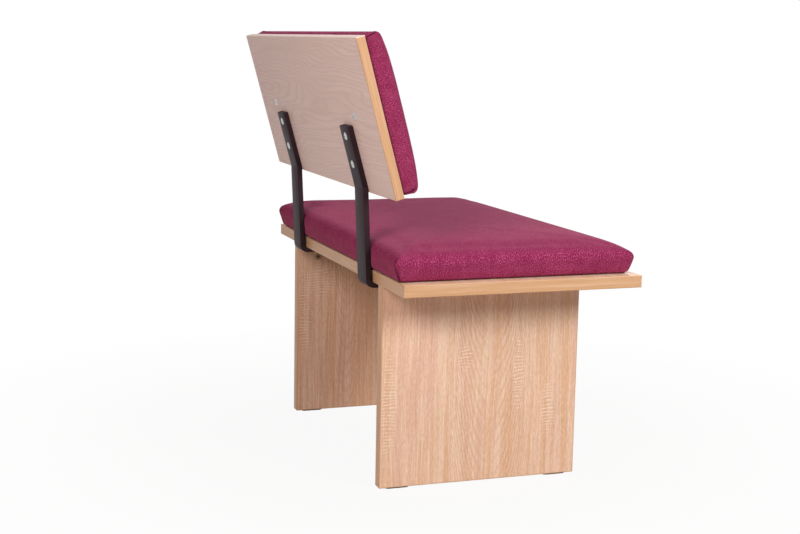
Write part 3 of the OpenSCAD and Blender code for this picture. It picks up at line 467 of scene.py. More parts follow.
def lock_lacquer(colours):
    """Brown lacquer on the die-cast cam locks: dull, grainy, with painted shade round the drive in their
    middle.
    """
    material, tree, shader = finish("brown_lacquered_zinc", IOR=1.5, Roughness=0.5)
    at = add(tree, "TexCoord").outputs["Object"]
    grain = add(tree, "TexNoise", {"Vector": at, "Scale": 1000 / 0.8, "Detail": 3.0}).outputs["Fac"]
    tone = add(tree, "Mix", {
        0: grain, 6: shade(colours.lacquer, 0.8), 7: shade(colours.lacquer),
    }, data_type="RGBA").outputs[2]
    # Distance from the nearest lock's axis: the locks stand level, the same way off the middle of each leg
    low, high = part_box("cam_locks")
    middle = (low + high) / 2
    off_middle = high.y - middle.y - (high.z - low.z) / 2
    centred = add(tree, "VectorMath", {0: at, 1: (0, middle.y, middle.z)}, operation="SUBTRACT").outputs[0]
    folded = add(tree, "VectorMath", {0: centred}, operation="ABSOLUTE").outputs[0]
    from_lock = add(tree, "VectorMath", {0: folded, 1: (0, off_middle, 0)}, operation="SUBTRACT").outputs[0]
    across = add(tree, "VectorMath", {0: from_lock, 1: (0, 1, 1)}, operation="MULTIPLY").outputs[0]
    away = add(tree, "VectorMath", {0: across}, operation="LENGTH").outputs["Value"]
    # Painted shade: the drive in the middle of each lock is painted almost black, as the shade in its recess
    tone = inked(tree, tone, away, 0.0036, 0.0024, 0.95, shade(colours.steel))
    surface(tree, shader, tone, grain, 0.3, 0.00003)
    return material


def melange(colours):
    """Woven melange upholstery: raspberry yarns of three tones, matt, with a faint pink bloom."""
    material, tree, shader = finish(
        "raspberry_melange_weave", IOR=1.45, Specular_IOR_Level=0.08, Sheen_Weight=0.22, Sheen_Roughness=0.45,
        Sheen_Tint=(1.0, 0.32, 0.48, 1.0),
    )
    deep, light = shade(colours.raspberry_deep), shade(colours.raspberry_light)
    cloth = add(tree, "UVMap", uv_map="cut").outputs[0]
    # Yarn flecks: 1.7 mm spots, 18 mm mottles, and 1.3 x 4.2 mm dashes along warp and weft
    spot = streaks(tree, cloth, 1.7, 1.7, 1.0, 0.6)
    mottle = streaks(tree, cloth, 18, 18, 2.0)
    weft = streaks(tree, cloth, 4.2, 1.3, 2.0)
    warp = streaks(tree, cloth, 1.3, 4.2, 2.0)
    grainy = add(tree, "Math", {0: mottle, 1: 0.15, 2: spot}, operation="MULTIPLY_ADD").outputs[0]
    dashes = add(tree, "Math", {0: weft, 1: warp}, operation="MAXIMUM").outputs[0]
    tone = add(tree, "ValToRGB", {"Fac": grainy}, stops=(
        (0.45, deep), (0.60, shade(colours.raspberry)), (0.80, light),
    )).outputs["Color"]
    tone = inked(tree, tone, dashes, 0.62, 0.76, 0.35, light)
    # The nap lies unevenly, in clouds of 85 x 60 mm
    tone = inked(tree, tone, streaks(tree, cloth, 85, 60, 2.0), 0.7, 0.3, 0.3, deep)
    # Painted shade: the cloth is darkened almost to black in the corner seams and where the hem turns under
    tuck = add(tree, "Attribute", attribute_name="tuck").outputs["Fac"]
    tone = inked(tree, tone, tuck, 0.1, 0.8, 0.9, shade(colours.raspberry_seam_shade))
    # Plain weave: threads are 0.8 mm apart in the cloth, and drawn 1.6 mm apart so that they show
    thread = math.pi / 0.0016
    threads = add(tree, "VectorMath", {0: cloth, 1: (thread, thread, 0)}, operation="MULTIPLY").outputs[0]
    rounds = add(tree, "VectorMath", {0: threads}, operation="SINE").outputs[0]
    crests = add(tree, "VectorMath", {0: rounds}, operation="ABSOLUTE").outputs[0]
    parts = add(tree, "SeparateXYZ", {0: crests}).outputs
    knots = add(tree, "Math", {0: parts["X"], 1: parts["Y"]}, operation="MULTIPLY").outputs[0]
    lumpy = add(tree, "Math", {0: knots, 1: spot}, operation="ADD").outputs[0]
    surface(tree, shader, tone, lumpy, 0.6, 0.0003, spot, 0.8, 0.95)
    return material


def cut_foam(colours):
    """Cut polyurethane foam: cream, matt, with open cells about 1.5 mm wide."""
    material, tree, shader = finish("cut_polyurethane_foam", IOR=1.4, Specular_IOR_Level=0.2, Roughness=0.95)
    at = add(tree, "TexCoord").outputs["Object"]
    cells = add(tree, "TexVoronoi", {"Vector": at, "Scale": 1000 / 1.5}).outputs["Distance"]
    tone = add(tree, "Mix", {
        0: cells, 6: shade(colours.foam, 0.7), 7: shade(colours.foam),
    }, data_type="RGBA").outputs[2]
    surface(tree, shader, tone, cells, 0.5, 0.0004)
    return material


def plain_wood(name, wood, turn, glue_pitch):
    """Bare wood: fine lines along the grain, and glue lines between the veneers where it is plywood.

    glue_pitch is how far apart the glue lines lie in millimetres, wider than the piece in solid wood.
    """
    material, tree, shader = finish(name, IOR=1.5, Roughness=0.6)
    dark = shade(wood, 0.62)
    turned = grain_places(tree, turn)
    grain = streaks(tree, turned, 2, 60, 3.0)
    tone = inked(tree, shade(wood), grain, 0.4, 0.7, 0.5, dark)
    depth = add(tree, "SeparateXYZ", {0: turned}).outputs["Z"]
    plies = add(tree, "Math", {0: depth, 1: 2000 * math.pi / glue_pitch}, operation="MULTIPLY").outputs[0]
    wave = add(tree, "Math", {0: plies}, operation="SINE").outputs[0]
    tone = inked(tree, tone, wave, 0.2, 1.0, 0.35, dark)
    surface(tree, shader, tone, grain, 0.3, 0.0001)
    return material


def moulded_plastic(colours):
    """Moulded polyethylene of the glides: grey-brown, dull, with a fine eroded grain."""
    material, tree, shader = finish("moulded_glide_plastic", IOR=1.5)
    at = add(tree, "TexCoord").outputs["Object"]
    grain = add(tree, "TexNoise", {"Vector": at, "Scale": 1000 / 1.2, "Detail": 2.0}).outputs["Fac"]
    tone = add(tree, "Mix", {
        0: grain, 6: shade(colours.glide, 0.75), 7: shade(colours.glide),
    }, data_type="RGBA").outputs[2]
    surface(tree, shader, tone, grain, 0.3, 0.00005, grain, 0.42, 0.6)
    return material


def seen_directly(tree):
    """1 for rays of the camera, mirrors and glass, 0 for rays that only carry light."""
    ray = add(tree, "LightPath").outputs
    either = add(tree, "Math", {
        0: ray["Is Camera Ray"], 1: ray["Is Glossy Ray"],
    }, operation="MAXIMUM").outputs[0]
    return add(tree, "Math", {0: either, 1: ray["Is Transmission Ray"]}, operation="MAXIMUM").outputs[0]


def studio_floor(colours):
    """Painted studio floor: matt and pale, white where it is seen far from the bench's soft shadow."""
    material, tree, shader = finish("painted_studio_floor", Roughness=0.9, Specular_IOR_Level=0.1)
    at = add(tree, "TexCoord").outputs["Object"]
    grain = add(tree, "TexNoise", {"Vector": at, "Scale": 40.0, "Detail": 3.0}).outputs["Fac"]
    tone = add(tree, "Mix", {
        0: grain, 6: shade(colours.floor, 0.98), 7: shade(colours.floor),
    }, data_type="RGBA").outputs[2]
    tree.links.new(tone, shader.inputs["Base Color"])
    white = add(tree, "Emission", {"Color": (1, 1, 1, 1), "Strength": 1.0}).outputs[0]
    away = add(tree, "VectorMath", {0: at}, operation="LENGTH").outputs["Value"]
    paper = add(tree, "MapRange", {
        "Value": away, "From Min": 0.4, "From Max": 1.2, "To Min": 0.93, "To Max": 1.0,
    }).outputs[0]
    share = add(tree, "Math", {0: seen_directly(tree), 1: paper}, operation="MULTIPLY").outputs[0]
    blend = add(tree, "MixShader", {0: share, 1: shader.outputs[0], 2: white}).outputs[0]
    tree.links.new(blend, tree.nodes["Material Output"].inputs["Surface"])
    return material


def dress(names, material):
    """Gives the CAD nodes one material in all their slots."""
    for name in names:
        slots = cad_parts[name].data.materials
        slots.clear()
        slots.append(material)


def linked(name, bm):
    """A new object in the scene, with a mesh of the bmesh, which is freed."""
    mesh = bpy.data.meshes.new(name)
    bm.to_mesh(mesh)
    bm.free()
    made = bpy.data.objects.new(name, mesh)
    bpy.context.scene.collection.objects.link(made)
    return made


def piece(name, bm, material):
    """A finished piece from a bmesh: its object sits at the origin and rides on the bench."""
    made = linked(name, bm)
    made.data.materials.append(material)
    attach(made, BODY)
    return made


# Pads

# Mesh of a pad: the cell next to an edge, how fast the cells grow from there, the heights of the two cuts
# that shape the hem's fold, and the number of cells up a side
EDGE_CELL = 0.0015
CELL_GROWTH = 1.25
FOLD_CUTS = (0.0010, 0.0022)
SIDE_CELLS = 8

# How far the foam stays behind the cloth, how far the cloth stands up beside a seam, and the fill of a cover
FOAM_GAP = 0.0008
SEAM_FULLNESS = 0.0006

# Where the seat pad rests on the bars: the gap in front of them, how far the flat of its dent reaches
# beside them, the slope of the dent's sides, and how far in front of the bars the dent starts
BAR_GAP = 0.0008
DENT_REACH = 0.002
DENT_SLOPE = 0.7
DENT_START = 0.010


def grid_places(half, pitch):
    """Places of mesh lines between -half and half, closer together towards both ends."""
    places = []
    gap, at = EDGE_CELL, half
    while at - gap > gap / 2:
        at -= gap
        places.append(at)
        gap = min(CELL_GROWTH * gap, pitch)
    return [-p for p in places] + places[::-1]


def block(pad, pitch):
    """A box standing on z = 0 whose faces are cut into cells that are small near its edges.

    Each vertex keeps its place in the box, and each corner of a face its place in the flat cut cloth.
    """
    half_x, half_y = pad.half
    height = pad.height
    bm = bmesh.new()
    bmesh.ops.create_cube(bm, size=1)
    bmesh.ops.scale(bm, vec=(2 * half_x, 2 * half_y, height), verts=bm.verts)
    bmesh.ops.translate(bm, vec=(0, 0, height / 2), verts=bm.verts)
    rises = [*FOLD_CUTS, *(height * k / SIDE_CELLS for k in range(1, SIDE_CELLS))]
    for axis, places in enumerate((grid_places(half_x, pitch), grid_places(half_y, pitch), rises)):
        for place in places:
            across = [0, 0, 0]
            across[axis] = 1
            bmesh.ops.bisect_plane(
                bm, geom=bm.verts[:] + bm.edges[:] + bm.faces[:],
                plane_co=[place * a for a in across], plane_no=across,
            )
    bm.normal_update()
    home = bm.verts.layers.float_vector.new("home")
    cut = bm.loops.layers.uv.new("cut")
    for vert in bm.verts:
        vert[home] = vert.co
    for face in bm.faces:
        across, along, _ = face.normal
        for loop in face.loops:
            x, y, z = loop.vert.co
            flat_x = math.copysign(pad.cloth_run(half_x) - pad.cloth_run(half_x - abs(x)), x)
            flat_y = math.copysign(pad.cloth_run(half_y) - pad.cloth_run(half_y - abs(y)), y)
            if abs(across) > 0.5:
                flat_x += math.copysign(height - z, across)
            if abs(along) > 0.5:
                flat_y += math.copysign(height - z, along)
            loop[cut].uv = (flat_x, flat_y)
    return bm


class Pad:
    """Form of a pad above its board: rings that follow the base's rounded outline."""

    # Top of the plywood base above the board, and how far the cloth stands off the base's sides
    base_top = 0.012
    side_off = 0.0015
    # Hem: its height above the board, how far it is tucked in and over what height, how high its own
    # shade reaches, and its width under the pad
    hem_under = 0.0008
    hem_tuck = 0.0040
    hem_rise = 0.0045
    hem_shade = 0.0035
    hem_width = 0.025
    # Corner radius of the base, how much of a ring's offset is added to it, and the half width below
    # which a ring has sharp corners
    base_r = 0.003
    soften = 0.25
    least_half = 0.004
    # How far the shoulder, the crown and the drop of a corner run in from the widest line
    run = 0.024
    crown_run = 0.050
    drop_run = 0.025
    # How far along the sides the straight cloth of a corner and its taut skin reach
    straight_run = 0.020
    taut_run = 0.030
    # Height above the base over which the skin gets its slack
    slack_rise = 0.010
    # Seam: how far in it runs, how high it takes to start, how far it passes its top and over what
    # height it ends, its half width, and the place and half width of the fullness beside it
    seam_run = 0.02
    seam_start = 0.004
    seam_past = 0.006
    seam_end = 0.008
    seam_half = 0.0014
    full_off = 0.005
    full_half = 0.0035
    # Pieces into which the shoulder's curve is cut to measure it
    slices = 10

    def __init__(self, half_x, half_y, swell, waist, shoulder, crown, seam_top, ends, low, high):
        self.base = (half_x, half_y)
        self.swell, self.waist, self.shoulder, self.crown = swell, waist, shoulder, crown
        # Height that the corner seams reach, and further swell of the two ends
        self.seam_top, self.ends = seam_top, ends
        # Sides at low and at high y: further swell, drop of their corners, and how far the seams
        # there lean round the corner, from the side onto the end
        self.low, self.high = low, high
        self.half = (half_x + self.side_off + swell, half_y + self.side_off + swell)
        self.height = waist - self.hem_under

    def level(self, home):
        """Offset from the base's outline, height, and inset from the box's edge, of a place in the box."""
        inset = max(0, min(self.half[0] - abs(home[0]), self.half[1] - abs(home[1])))
        if home[2] <= TINY:
            return self.side_off - self.hem_tuck - inset, self.hem_under, inset
        if home[2] < self.height - TINY:
            z = self.hem_under + home[2]
            tuck = 0.75 * self.hem_tuck * max(0, 1 - home[2] / self.hem_rise) ** 2
            return self.side_off + self.swell * math.sin(z / self.waist * math.pi / 2) - tuck, z, 0
        turn = math.acos(max(0, 1 - inset / self.run))
        z = self.waist + self.shoulder * math.sin(turn) + self.crown * (1 - math.exp(-inset / self.crown_run))
        return self.side_off + self.swell - inset, z, inset

    def cloth_run(self, inset):
        """Length of cloth from the pad's widest line to a place that lies inset from it."""
        turn = math.acos(min(1, max(0, 1 - inset / self.run)))
        steps = [turn * (k + 0.5) / self.slices for k in range(self.slices)]
        arc = sum(math.hypot(self.run * math.sin(t), self.shoulder * math.cos(t)) for t in steps)
        return arc * turn / self.slices + max(0, inset - self.run)

    def corner_run(self, home):
        """Distance along the box's edge from its nearest upright edge."""
        inset = min(self.half[0] - abs(home[0]), self.half[1] - abs(home[1]))
        return max(self.half[0] - abs(home[0]), self.half[1] - abs(home[1])) - inset

    def ring_place(self, home, off, inset, radius):
        """Where a place in the box lies on its rounded ring, in the quarter with x and y above 0."""
        away = self.corner_run(home)
        half = [b + off for b in self.base]
        lengthwise = self.half[1] - abs(home[1]) < self.half[0] - abs(home[0])
        long, short = (0, 1) if lengthwise else (1, 0)
        at = [0, 0]
        if away < radius:
            angle = math.pi / 4 * (1 + away / radius)
            at[long] = half[long] - radius + radius * math.cos(angle)
            at[short] = half[short] - radius + radius * math.sin(angle)
        else:
            straight = self.half[long] - inset - radius
            along = abs(home[long]) / straight if straight > TINY else 0
            at[long] = along * (half[long] - radius)
            at[short] = half[short]
        return at

    def place(self, home):
        """Where a place in the box comes to lie on the pad."""
        off, z, inset = self.level(home)
        away = self.corner_run(home)
        if TINY < home[2] < self.height - TINY:
            # At the corners the cloth runs straight from the hem to its widest line
            rise = min(1, z / self.waist)
            bulge = math.sin(rise * math.pi / 2) - rise
            off -= self.swell * bulge * math.exp(-away / self.straight_run)
        least = min(self.base) + off
        radius = min(self.base_r + self.soften * max(0, off), 0.5 * least) if least > self.least_half else 0
        at = self.ring_place(home, off, inset, radius)
        swollen = math.sin(min(1, z / self.waist) * math.pi / 2)
        swell, drop, _ = self.low if home[1] < 0 else self.high
        at[0] += self.ends * swollen * (at[0] / self.base[0]) ** 4
        at[1] += swell * swollen * (at[1] / self.base[1]) ** 4
        share = min(1, max(0, (z - self.base_top) / (self.waist + self.shoulder - self.base_top)))
        past = max(0, away - radius) + max(0, inset - self.run)
        z -= drop * share * math.exp(-past / self.drop_run)
        return Vector((math.copysign(at[0], home[0]), math.copysign(at[1], home[1]), z))

    def slack_share(self, home):
        """Share of the slack that the skin gets at a place: none on the base and at the corners."""
        rise = min(1, max(0, (self.level(home)[1] - self.base_top) / self.slack_rise))
        return rise * (1 - math.exp(-self.corner_run(home) / self.taut_run))

    def crease(self, home):
        """Share of the corner seam's depth at a place, and of the fullness beside the seam."""
        _, z, inset = self.level(home)
        if inset > self.seam_run or home[2] <= TINY:
            return 0, 0
        ends = min(1, max(0, (self.seam_top + self.seam_past - z) / self.seam_end))
        reach = min(1, z / self.seam_start) * ends
        round_corner = self.corner_run(home) * math.pi / 4
        if self.half[0] - abs(home[0]) > self.half[1] - abs(home[1]):
            round_corner = -round_corner
        lean = (self.low if home[1] < 0 else self.high)[2]
        away = abs(round_corner - lean * min(1, z / self.waist))
        seam = math.exp(-(away / self.seam_half) ** 2)
        full = math.exp(-((away - self.full_off) / self.full_half) ** 2)
        return reach * seam, reach * full

    def shaded(self, home):
        """How deep the cloth lies in its own shade: 1 in a corner seam and where the hem turns under."""
        hem = 1 if home[2] <= TINY else max(0, 1 - home[2] / self.hem_shade)
        return max(hem, self.crease(home)[0])

    def is_open(self, face):
        """True for a face of the underside that lies inside the hem, where there is no cloth."""
        centre = face.calc_center_median()
        from_edge = min(self.base[0] - abs(centre.x), self.base[1] - abs(centre.y))
        return centre.z < 1.5 * self.hem_under and from_edge >= self.hem_width


def unlinked(skin):
    """A bmesh of the object as its modifiers leave it. The object and its mesh are removed."""
    depsgraph = bpy.context.evaluated_depsgraph_get()
    result = skin.evaluated_get(depsgraph)
    bm = bmesh.new()
    bm.from_mesh(result.to_mesh())
    result.to_mesh_clear()
    mesh = skin.data
    bpy.data.objects.remove(skin)
    bpy.data.meshes.remove(mesh)
    return bm


def move_all(bm, moves):
    """Moves each vertex by its own step."""
    for vert, move in zip(bm.verts, moves):
        vert.co += move


def inflate(bm, pad, cap, sizes):
    """Blows the closed skin up as cloth over its base, and lets no point move further than cap."""
    skin = linked("inflating", bm.copy())
    home = bm.verts.layers.float_vector["home"]
    held = skin.vertex_groups.new(name="held")
    # The cloth is held fast beside the base, and half as fast in the seams
    for vert in bm.verts:
        hold = 1 if pad.level(vert[home])[1] < 1.1 * pad.base_top else 0.5 * pad.crease(vert[home])[0]
        if hold > 0:
            held.add([vert.index], hold, "REPLACE")
    cloth = skin.modifiers.new("cloth", "CLOTH")
    cloth.settings.quality = 6
    cloth.settings.mass = 0.35
    cloth.settings.tension_stiffness = 18
    cloth.settings.compression_stiffness = 12
    cloth.settings.shear_stiffness = 8
    cloth.settings.bending_stiffness = 0.6
    cloth.settings.use_pressure = True
    cloth.settings.uniform_pressure_force = sizes.inflate_pressure
    cloth.settings.vertex_group_mass = "held"
    cloth.settings.effector_weights.gravity = 0
    cloth.collision_settings.use_collision = False
    scene = bpy.context.scene
    for step in range(1, sizes.inflate_frames + 1):
        scene.frame_set(step)
    blown = unlinked(skin)
    scene.frame_set(1)
    bm.normal_update()
    moves = []
    for vert, moved in zip(bm.verts, blown.verts):
        move = moved.co - vert.co
        # The foam stands behind the cloth, so it only moves outwards or along itself
        move -= min(0, move.dot(vert.normal)) * vert.normal
        moves.append(move * min(1, cap / max(move.length, TINY)))
    blown.free()
    move_all(bm, moves)


def refine(bm):
    """One Catmull-Clark step on the whole skin."""
    skin = linked("refining", bm)
    smooth = skin.modifiers.new("refine", "SUBSURF")
    smooth.levels = smooth.render_levels = 1
    return unlinked(skin)


def sew(bm, pad, depth):
    """Draws the corner seams in, leaves the cloth a little full beside them, and stores the share of painted
    shade.
    """
    bm.normal_update()
    home = bm.verts.layers.float_vector["home"]
    tuck = bm.verts.layers.float.new("tuck")
    moves = []
    for vert in bm.verts:
        seam, full = pad.crease(vert[home])
        moves.append(vert.normal * (SEAM_FULLNESS * full - depth * seam))
        # tuck is the share of painted shade that darkens the cloth's colour in the seams and at the hem
        vert[tuck] = pad.shaded(vert[home])
    move_all(bm, moves)


def rest_on_bars(bm, place, sizes):
    """Holds the cloth a little in front of the bars, with a soft dent on both sides of each bar."""
    start, kink = bar_front(sizes)
    reach = sizes.bar_width / 2 + DENT_REACH
    middles = [sum(corner.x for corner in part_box(side + "_back_bracket")) / 2 for side in ("left", "right")]
    back = place.inverted()
    for vert in bm.verts:
        at = place @ vert.co
        if at.y < start.y - DENT_START:
            continue
        front = start.y + (kink.y - start.y) * (at.z - start.z) / (kink.z - start.z)
        beside = max(0, min(abs(at.x - middle) for middle in middles) - reach)
        at.y = min(at.y, front - BAR_GAP + DENT_SLOPE * beside)
        vert.co = back @ at


def foam_block(name, skin, pad, place, sizes, material):
    """The foam inside a pad's skin, cut flat where it lies on the base."""
    bm = skin.copy()
    bm.normal_update()
    inward = sizes.fabric + sizes.seam_depth + FOAM_GAP
    for vert in bm.verts:
        vert.co -= inward * vert.normal
    sliced = bmesh.ops.bisect_plane(
        bm, geom=bm.verts[:] + bm.edges[:] + bm.faces[:],
        plane_co=(0, 0, pad.base_top), plane_no=(0, 0, 1), clear_inner=True,
    )
    rim = [e for e in sliced["geom_cut"] if isinstance(e, bmesh.types.BMEdge)]
    bmesh.ops.edgeloop_fill(bm, edges=rim)
    bmesh.ops.transform(bm, matrix=place, verts=bm.verts)
    foam = piece(name + "_foam", bm, material)
    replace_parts(foam, name + "_pad_foam")


def upholster(name, pad, place, sizes, weave, foam, slack, cap, by_bars=False):
    """Makes a pad's cover with its turned-under hem, and the foam block inside it.

    slack is how far the skin starts behind its form, and cap how far it may move when it is blown up.
    """
    bm = block(pad, sizes.mesh_pitch)
    home = bm.verts.layers.float_vector["home"]
    for vert in bm.verts:
        vert.co = pad.place(vert[home])
    bm.normal_update()
    for vert in bm.verts:
        vert.co -= slack * pad.slack_share(vert[home]) * vert.normal
    inflate(bm, pad, cap, sizes)
    foam_block(name, bm, pad, place, sizes, foam)

    bm = refine(bm)
    if by_bars:
        rest_on_bars(bm, place, sizes)
    sew(bm, pad, sizes.seam_depth)
    bmesh.ops.delete(bm, geom=[f for f in bm.faces if pad.is_open(f)], context="FACES")
    bmesh.ops.transform(bm, matrix=place, verts=bm.verts)
    for face in bm.faces:
        face.smooth = True
    cover = piece(name + "_cushion", bm, weave)
    thick = cover.modifiers.new("fabric", "SOLIDIFY")
    thick.thickness = sizes.fabric
    thick.offset = -1
    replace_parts(cover, name + "_pad_cover")


# Bent bars

# How far under the seat, from its rear edge, the bars start to bend, the steps of their bend and of their
# kink, and the turn in radians from which an edge is eased
BEND_START = 0.0015
BEND_STEPS = 14
KINK_STEPS = 8
SHARP_TURN = 1.2


def cap_of(geometry):
    """The faces among the geometry that an extrusion returns."""
    return [g for g in geometry if isinstance(g, bmesh.types.BMFace)]


def lengthen(bm, faces, step):
    """Extrudes the end face of a bar along a step, and gives the new end face."""
    out = bmesh.ops.extrude_face_region(bm, geom=faces)["geom"]
    bmesh.ops.translate(bm, vec=step, verts=[g for g in out if isinstance(g, bmesh.types.BMVert)])
    return cap_of(out)


def turned_on(bm, faces, centre, angle, steps):
    """Spins the end face of a bar about a bend's centre, and gives the new end face."""
    verts = {v for f in faces for v in f.verts}
    edges = {e for f in faces for e in f.edges}
    out = bmesh.ops.spin(
        bm, geom=[*verts, *edges, *faces], cent=centre, axis=(1, 0, 0), angle=angle, steps=steps,
    )["geom_last"]
    return cap_of(out)


def sharp_edges(bm):
    """Edges at which the bar's surface turns sharply."""
    return [e for e in bm.edges if len(e.link_faces) == 2 and e.calc_face_angle(0) > SHARP_TURN]


def is_corner(edge, thick):
    """True for an edge that crosses the bar's thickness at one of its four outline corners."""
    first, last = (vert.co for vert in edge.verts)
    return abs(edge.calc_length() - thick) < 10 * TINY and abs(first.x - last.x) < TINY


def bend_middle(sizes):
    """Centre of the bars' bend round the seat's rear edge, at x = 0."""
    seat_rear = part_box("seat_band_rear")[1].y
    return Vector((0, seat_rear - BEND_START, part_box("seat_board")[0].z + sizes.bend_radius))


def bar_front(sizes):
    """Lower and upper end of the straight part of the bars' front face, at x = 0."""
    return bend_middle(sizes) + sizes.bend_radius * OUT_OF_UPRIGHT, BACK_EDGE + sizes.kink_height * ALONG_BACK


def bent_bar(middle_x, sizes):
    """Flat bar: foot under the seat, bend round the seat's rear edge, upright, soft kink and upper end."""
    foot_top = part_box("seat_board")[0].z
    foot_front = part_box("left_back_bracket")[0].y
    thick, kink_r = sizes.bar_thickness, sizes.kink_radius
    turn = BACK_LEAN - BAR_LEAN
    aside = Vector((middle_x, 0, 0))
    bend_centre = bend_middle(sizes) + aside
    upright_start, kink = (end + aside for end in bar_front(sizes))
    tangent = kink_r * math.tan(turn / 2)
    kink_start = kink - tangent * ALONG_UPRIGHT
    kink_centre = kink_start + kink_r * OUT_OF_UPRIGHT

    bm = bmesh.new()
    bmesh.ops.create_grid(bm, x_segments=1, y_segments=1, size=0.5)
    bmesh.ops.scale(bm, vec=(sizes.bar_width, thick, 1), verts=bm.verts)
    bmesh.ops.rotate(bm, matrix=QUARTER_TURN, verts=bm.verts)
    bmesh.ops.translate(bm, vec=(middle_x, foot_front, foot_top - thick / 2), verts=bm.verts)
    end = lengthen(bm, bm.faces[:], (0, bend_centre.y - foot_front, 0))
    end = turned_on(bm, end, bend_centre, math.pi / 2 - BAR_LEAN, BEND_STEPS)
    end = lengthen(bm, end, kink_start - upright_start)
    end = turned_on(bm, end, kink_centre, -turn, KINK_STEPS)
    lengthen(bm, end, (sizes.bar_top - sizes.kink_height - tangent) * ALONG_BACK)
    bmesh.ops.recalc_face_normals(bm, faces=bm.faces)

    corners = [e for e in sharp_edges(bm) if is_corner(e, thick)]
    bmesh.ops.bevel(
        bm, geom=corners, offset=sizes.bar_corner, segments=5, profile=0.5, affect="EDGES", material=-1,
    )
    bmesh.ops.bevel(
        bm, geom=sharp_edges(bm), offset=sizes.bar_ease, segments=3, profile=0.5, affect="EDGES", material=-1,
        clamp_overlap=True,
    )
    for face in bm.faces:
        face.smooth = True
    return bm


# Operators

class BENCH_OT_boards(bpy.types.Operator):
    """Finishes the seat board, the legs, the backrest board and their edge bands"""

    bl_idname = "bench.boards"
    bl_label = "Boards and edge bands"

    def execute(self, context):
        colours = context.scene.bench_colours
        for node, name, decor in (
            ("left_leg_panel", "left_leg", LEFT_LEG_DECOR),
            ("right_leg_panel", "right_leg", RIGHT_LEG_DECOR),
            ("seat_board", "seat", SEAT_DECOR),
            ("back_board", "back", BACK_DECOR),
        ):
            dress([node], sawn_oak("sawn_oak_decor_" + name, decor, colours))
        lengthwise = honey_band("honey_band_lengthwise", LENGTHWISE_GRAIN, (0, 0, 0), colours)
        upright = honey_band("honey_band_upright", UPRIGHT_GRAIN, (0.2, 0, 0), colours)
        depthwise = honey_band("honey_band_depthwise", DEPTHWISE_BAND, (0.4, 0, 0), colours)
        sloping = honey_band("honey_band_sloping", BACK_END_BAND, (0.6, 0, 0), colours)
        # The backrest's top band is the honey band lightened by pale grey, as painted light from above
        pale = honey_band("honey_band_painted_light", LENGTHWISE_GRAIN, (0.8, 0, 0), colours, 0.6)
        dress(["seat_band_front", "seat_band_rear", "back_band_bottom"], lengthwise)
        dress(["back_band_top"], pale)
        dress(["back_band_left", "back_band_right"], sloping)
        for side in ("left", "right"):
            dress([side + "_leg_band_front", side + "_leg_band_rear"], upright)
            dress(["seat_band_" + side, side + "_leg_band_bottom"], depthwise)
        return {"FINISHED"}


class BENCH_OT_bars(bpy.types.Operator):
    """Bends the two flat bars that hold the backrest"""

    bl_idname = "bench.bars"
    bl_label = "Bent bars"

    def execute(self, context):
        coat = powder_coat(context.scene.bench_colours)
        for side in ("left", "right"):
            node = side + "_back_bracket"
            low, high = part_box(node)
            shape = bent_bar((low.x + high.x) / 2, context.scene.bench_sizes)
            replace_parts(piece(side + "_bent_bar", shape, coat), node)
        return {"FINISHED"}


class BENCH_OT_pads(bpy.types.Operator):
    """Upholsters the seat pad and the back pad"""

    bl_idname = "bench.pads"
    bl_label = "Upholstered pads"

    def execute(self, context):
        sizes, colours = context.scene.bench_sizes, context.scene.bench_colours
        weave, foam = melange(colours), cut_foam(colours)
        low, high = SEAT_BASE
        middle = (low + high) / 2
        seat = Pad(
            (high.x - low.x) / 2, (high.y - low.y) / 2,
            sizes.seat_swell, sizes.seat_waist, sizes.seat_shoulder, sizes.seat_crown,
            sizes.seat_seam, sizes.seat_ends,
            (sizes.seat_front, sizes.seat_front_drop, 0),
            (sizes.seat_rear, sizes.seat_rear_drop, -sizes.seam_lean),
        )
        seat_place = Matrix.Translation((middle.x, middle.y, SEAT_TOP))
        upholster("seat", seat, seat_place, sizes, weave, foam, slack=0.0015, cap=0.004, by_bars=True)
        back = Pad(
            (BACK_BASE[1].x - BACK_BASE[0].x) / 2, BACK_BASE_DEPTH / 2,
            sizes.back_swell, sizes.back_waist, sizes.back_shoulder, sizes.back_crown,
            sizes.back_seam, sizes.back_ends,
            (sizes.back_lower, sizes.back_lower_drop, sizes.seam_lean),
            (sizes.back_upper, sizes.back_upper_drop, 0),
        )
        upholster("back", back, BACK_FRONT, sizes, weave, foam, slack=0.0012, cap=0.003)
        return {"FINISHED"}


class BENCH_OT_fittings(bpy.types.Operator):
    """Finishes the screws, nuts, staples, cam locks, dowels, pad bases and glides"""

    bl_idname = "bench.fittings"
    bl_label = "Fittings and inner pieces"

    def execute(self, context):
        colours = context.scene.bench_colours
        plated = ("_screws", "_nuts", "_staples", "cam_bolts")
        dress([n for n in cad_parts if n.endswith(plated)], zinc_plate(colours))
        dress(["cam_locks"], lock_lacquer(colours))
        dress(["leg_dowels"], plain_wood("turned_beech", colours.beech, UPRIGHT_GRAIN, 40))
        dress(["seat_pad_base"], plain_wood("birch_plywood_seat", colours.plywood, LENGTHWISE_GRAIN, 1.4))
        dress(["back_pad_base"], plain_wood("birch_plywood_back", colours.plywood, BACK_GRAIN, 1.4))
        dress([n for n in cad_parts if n.endswith("_glide")], moulded_plastic(colours))
        return {"FINISHED"}


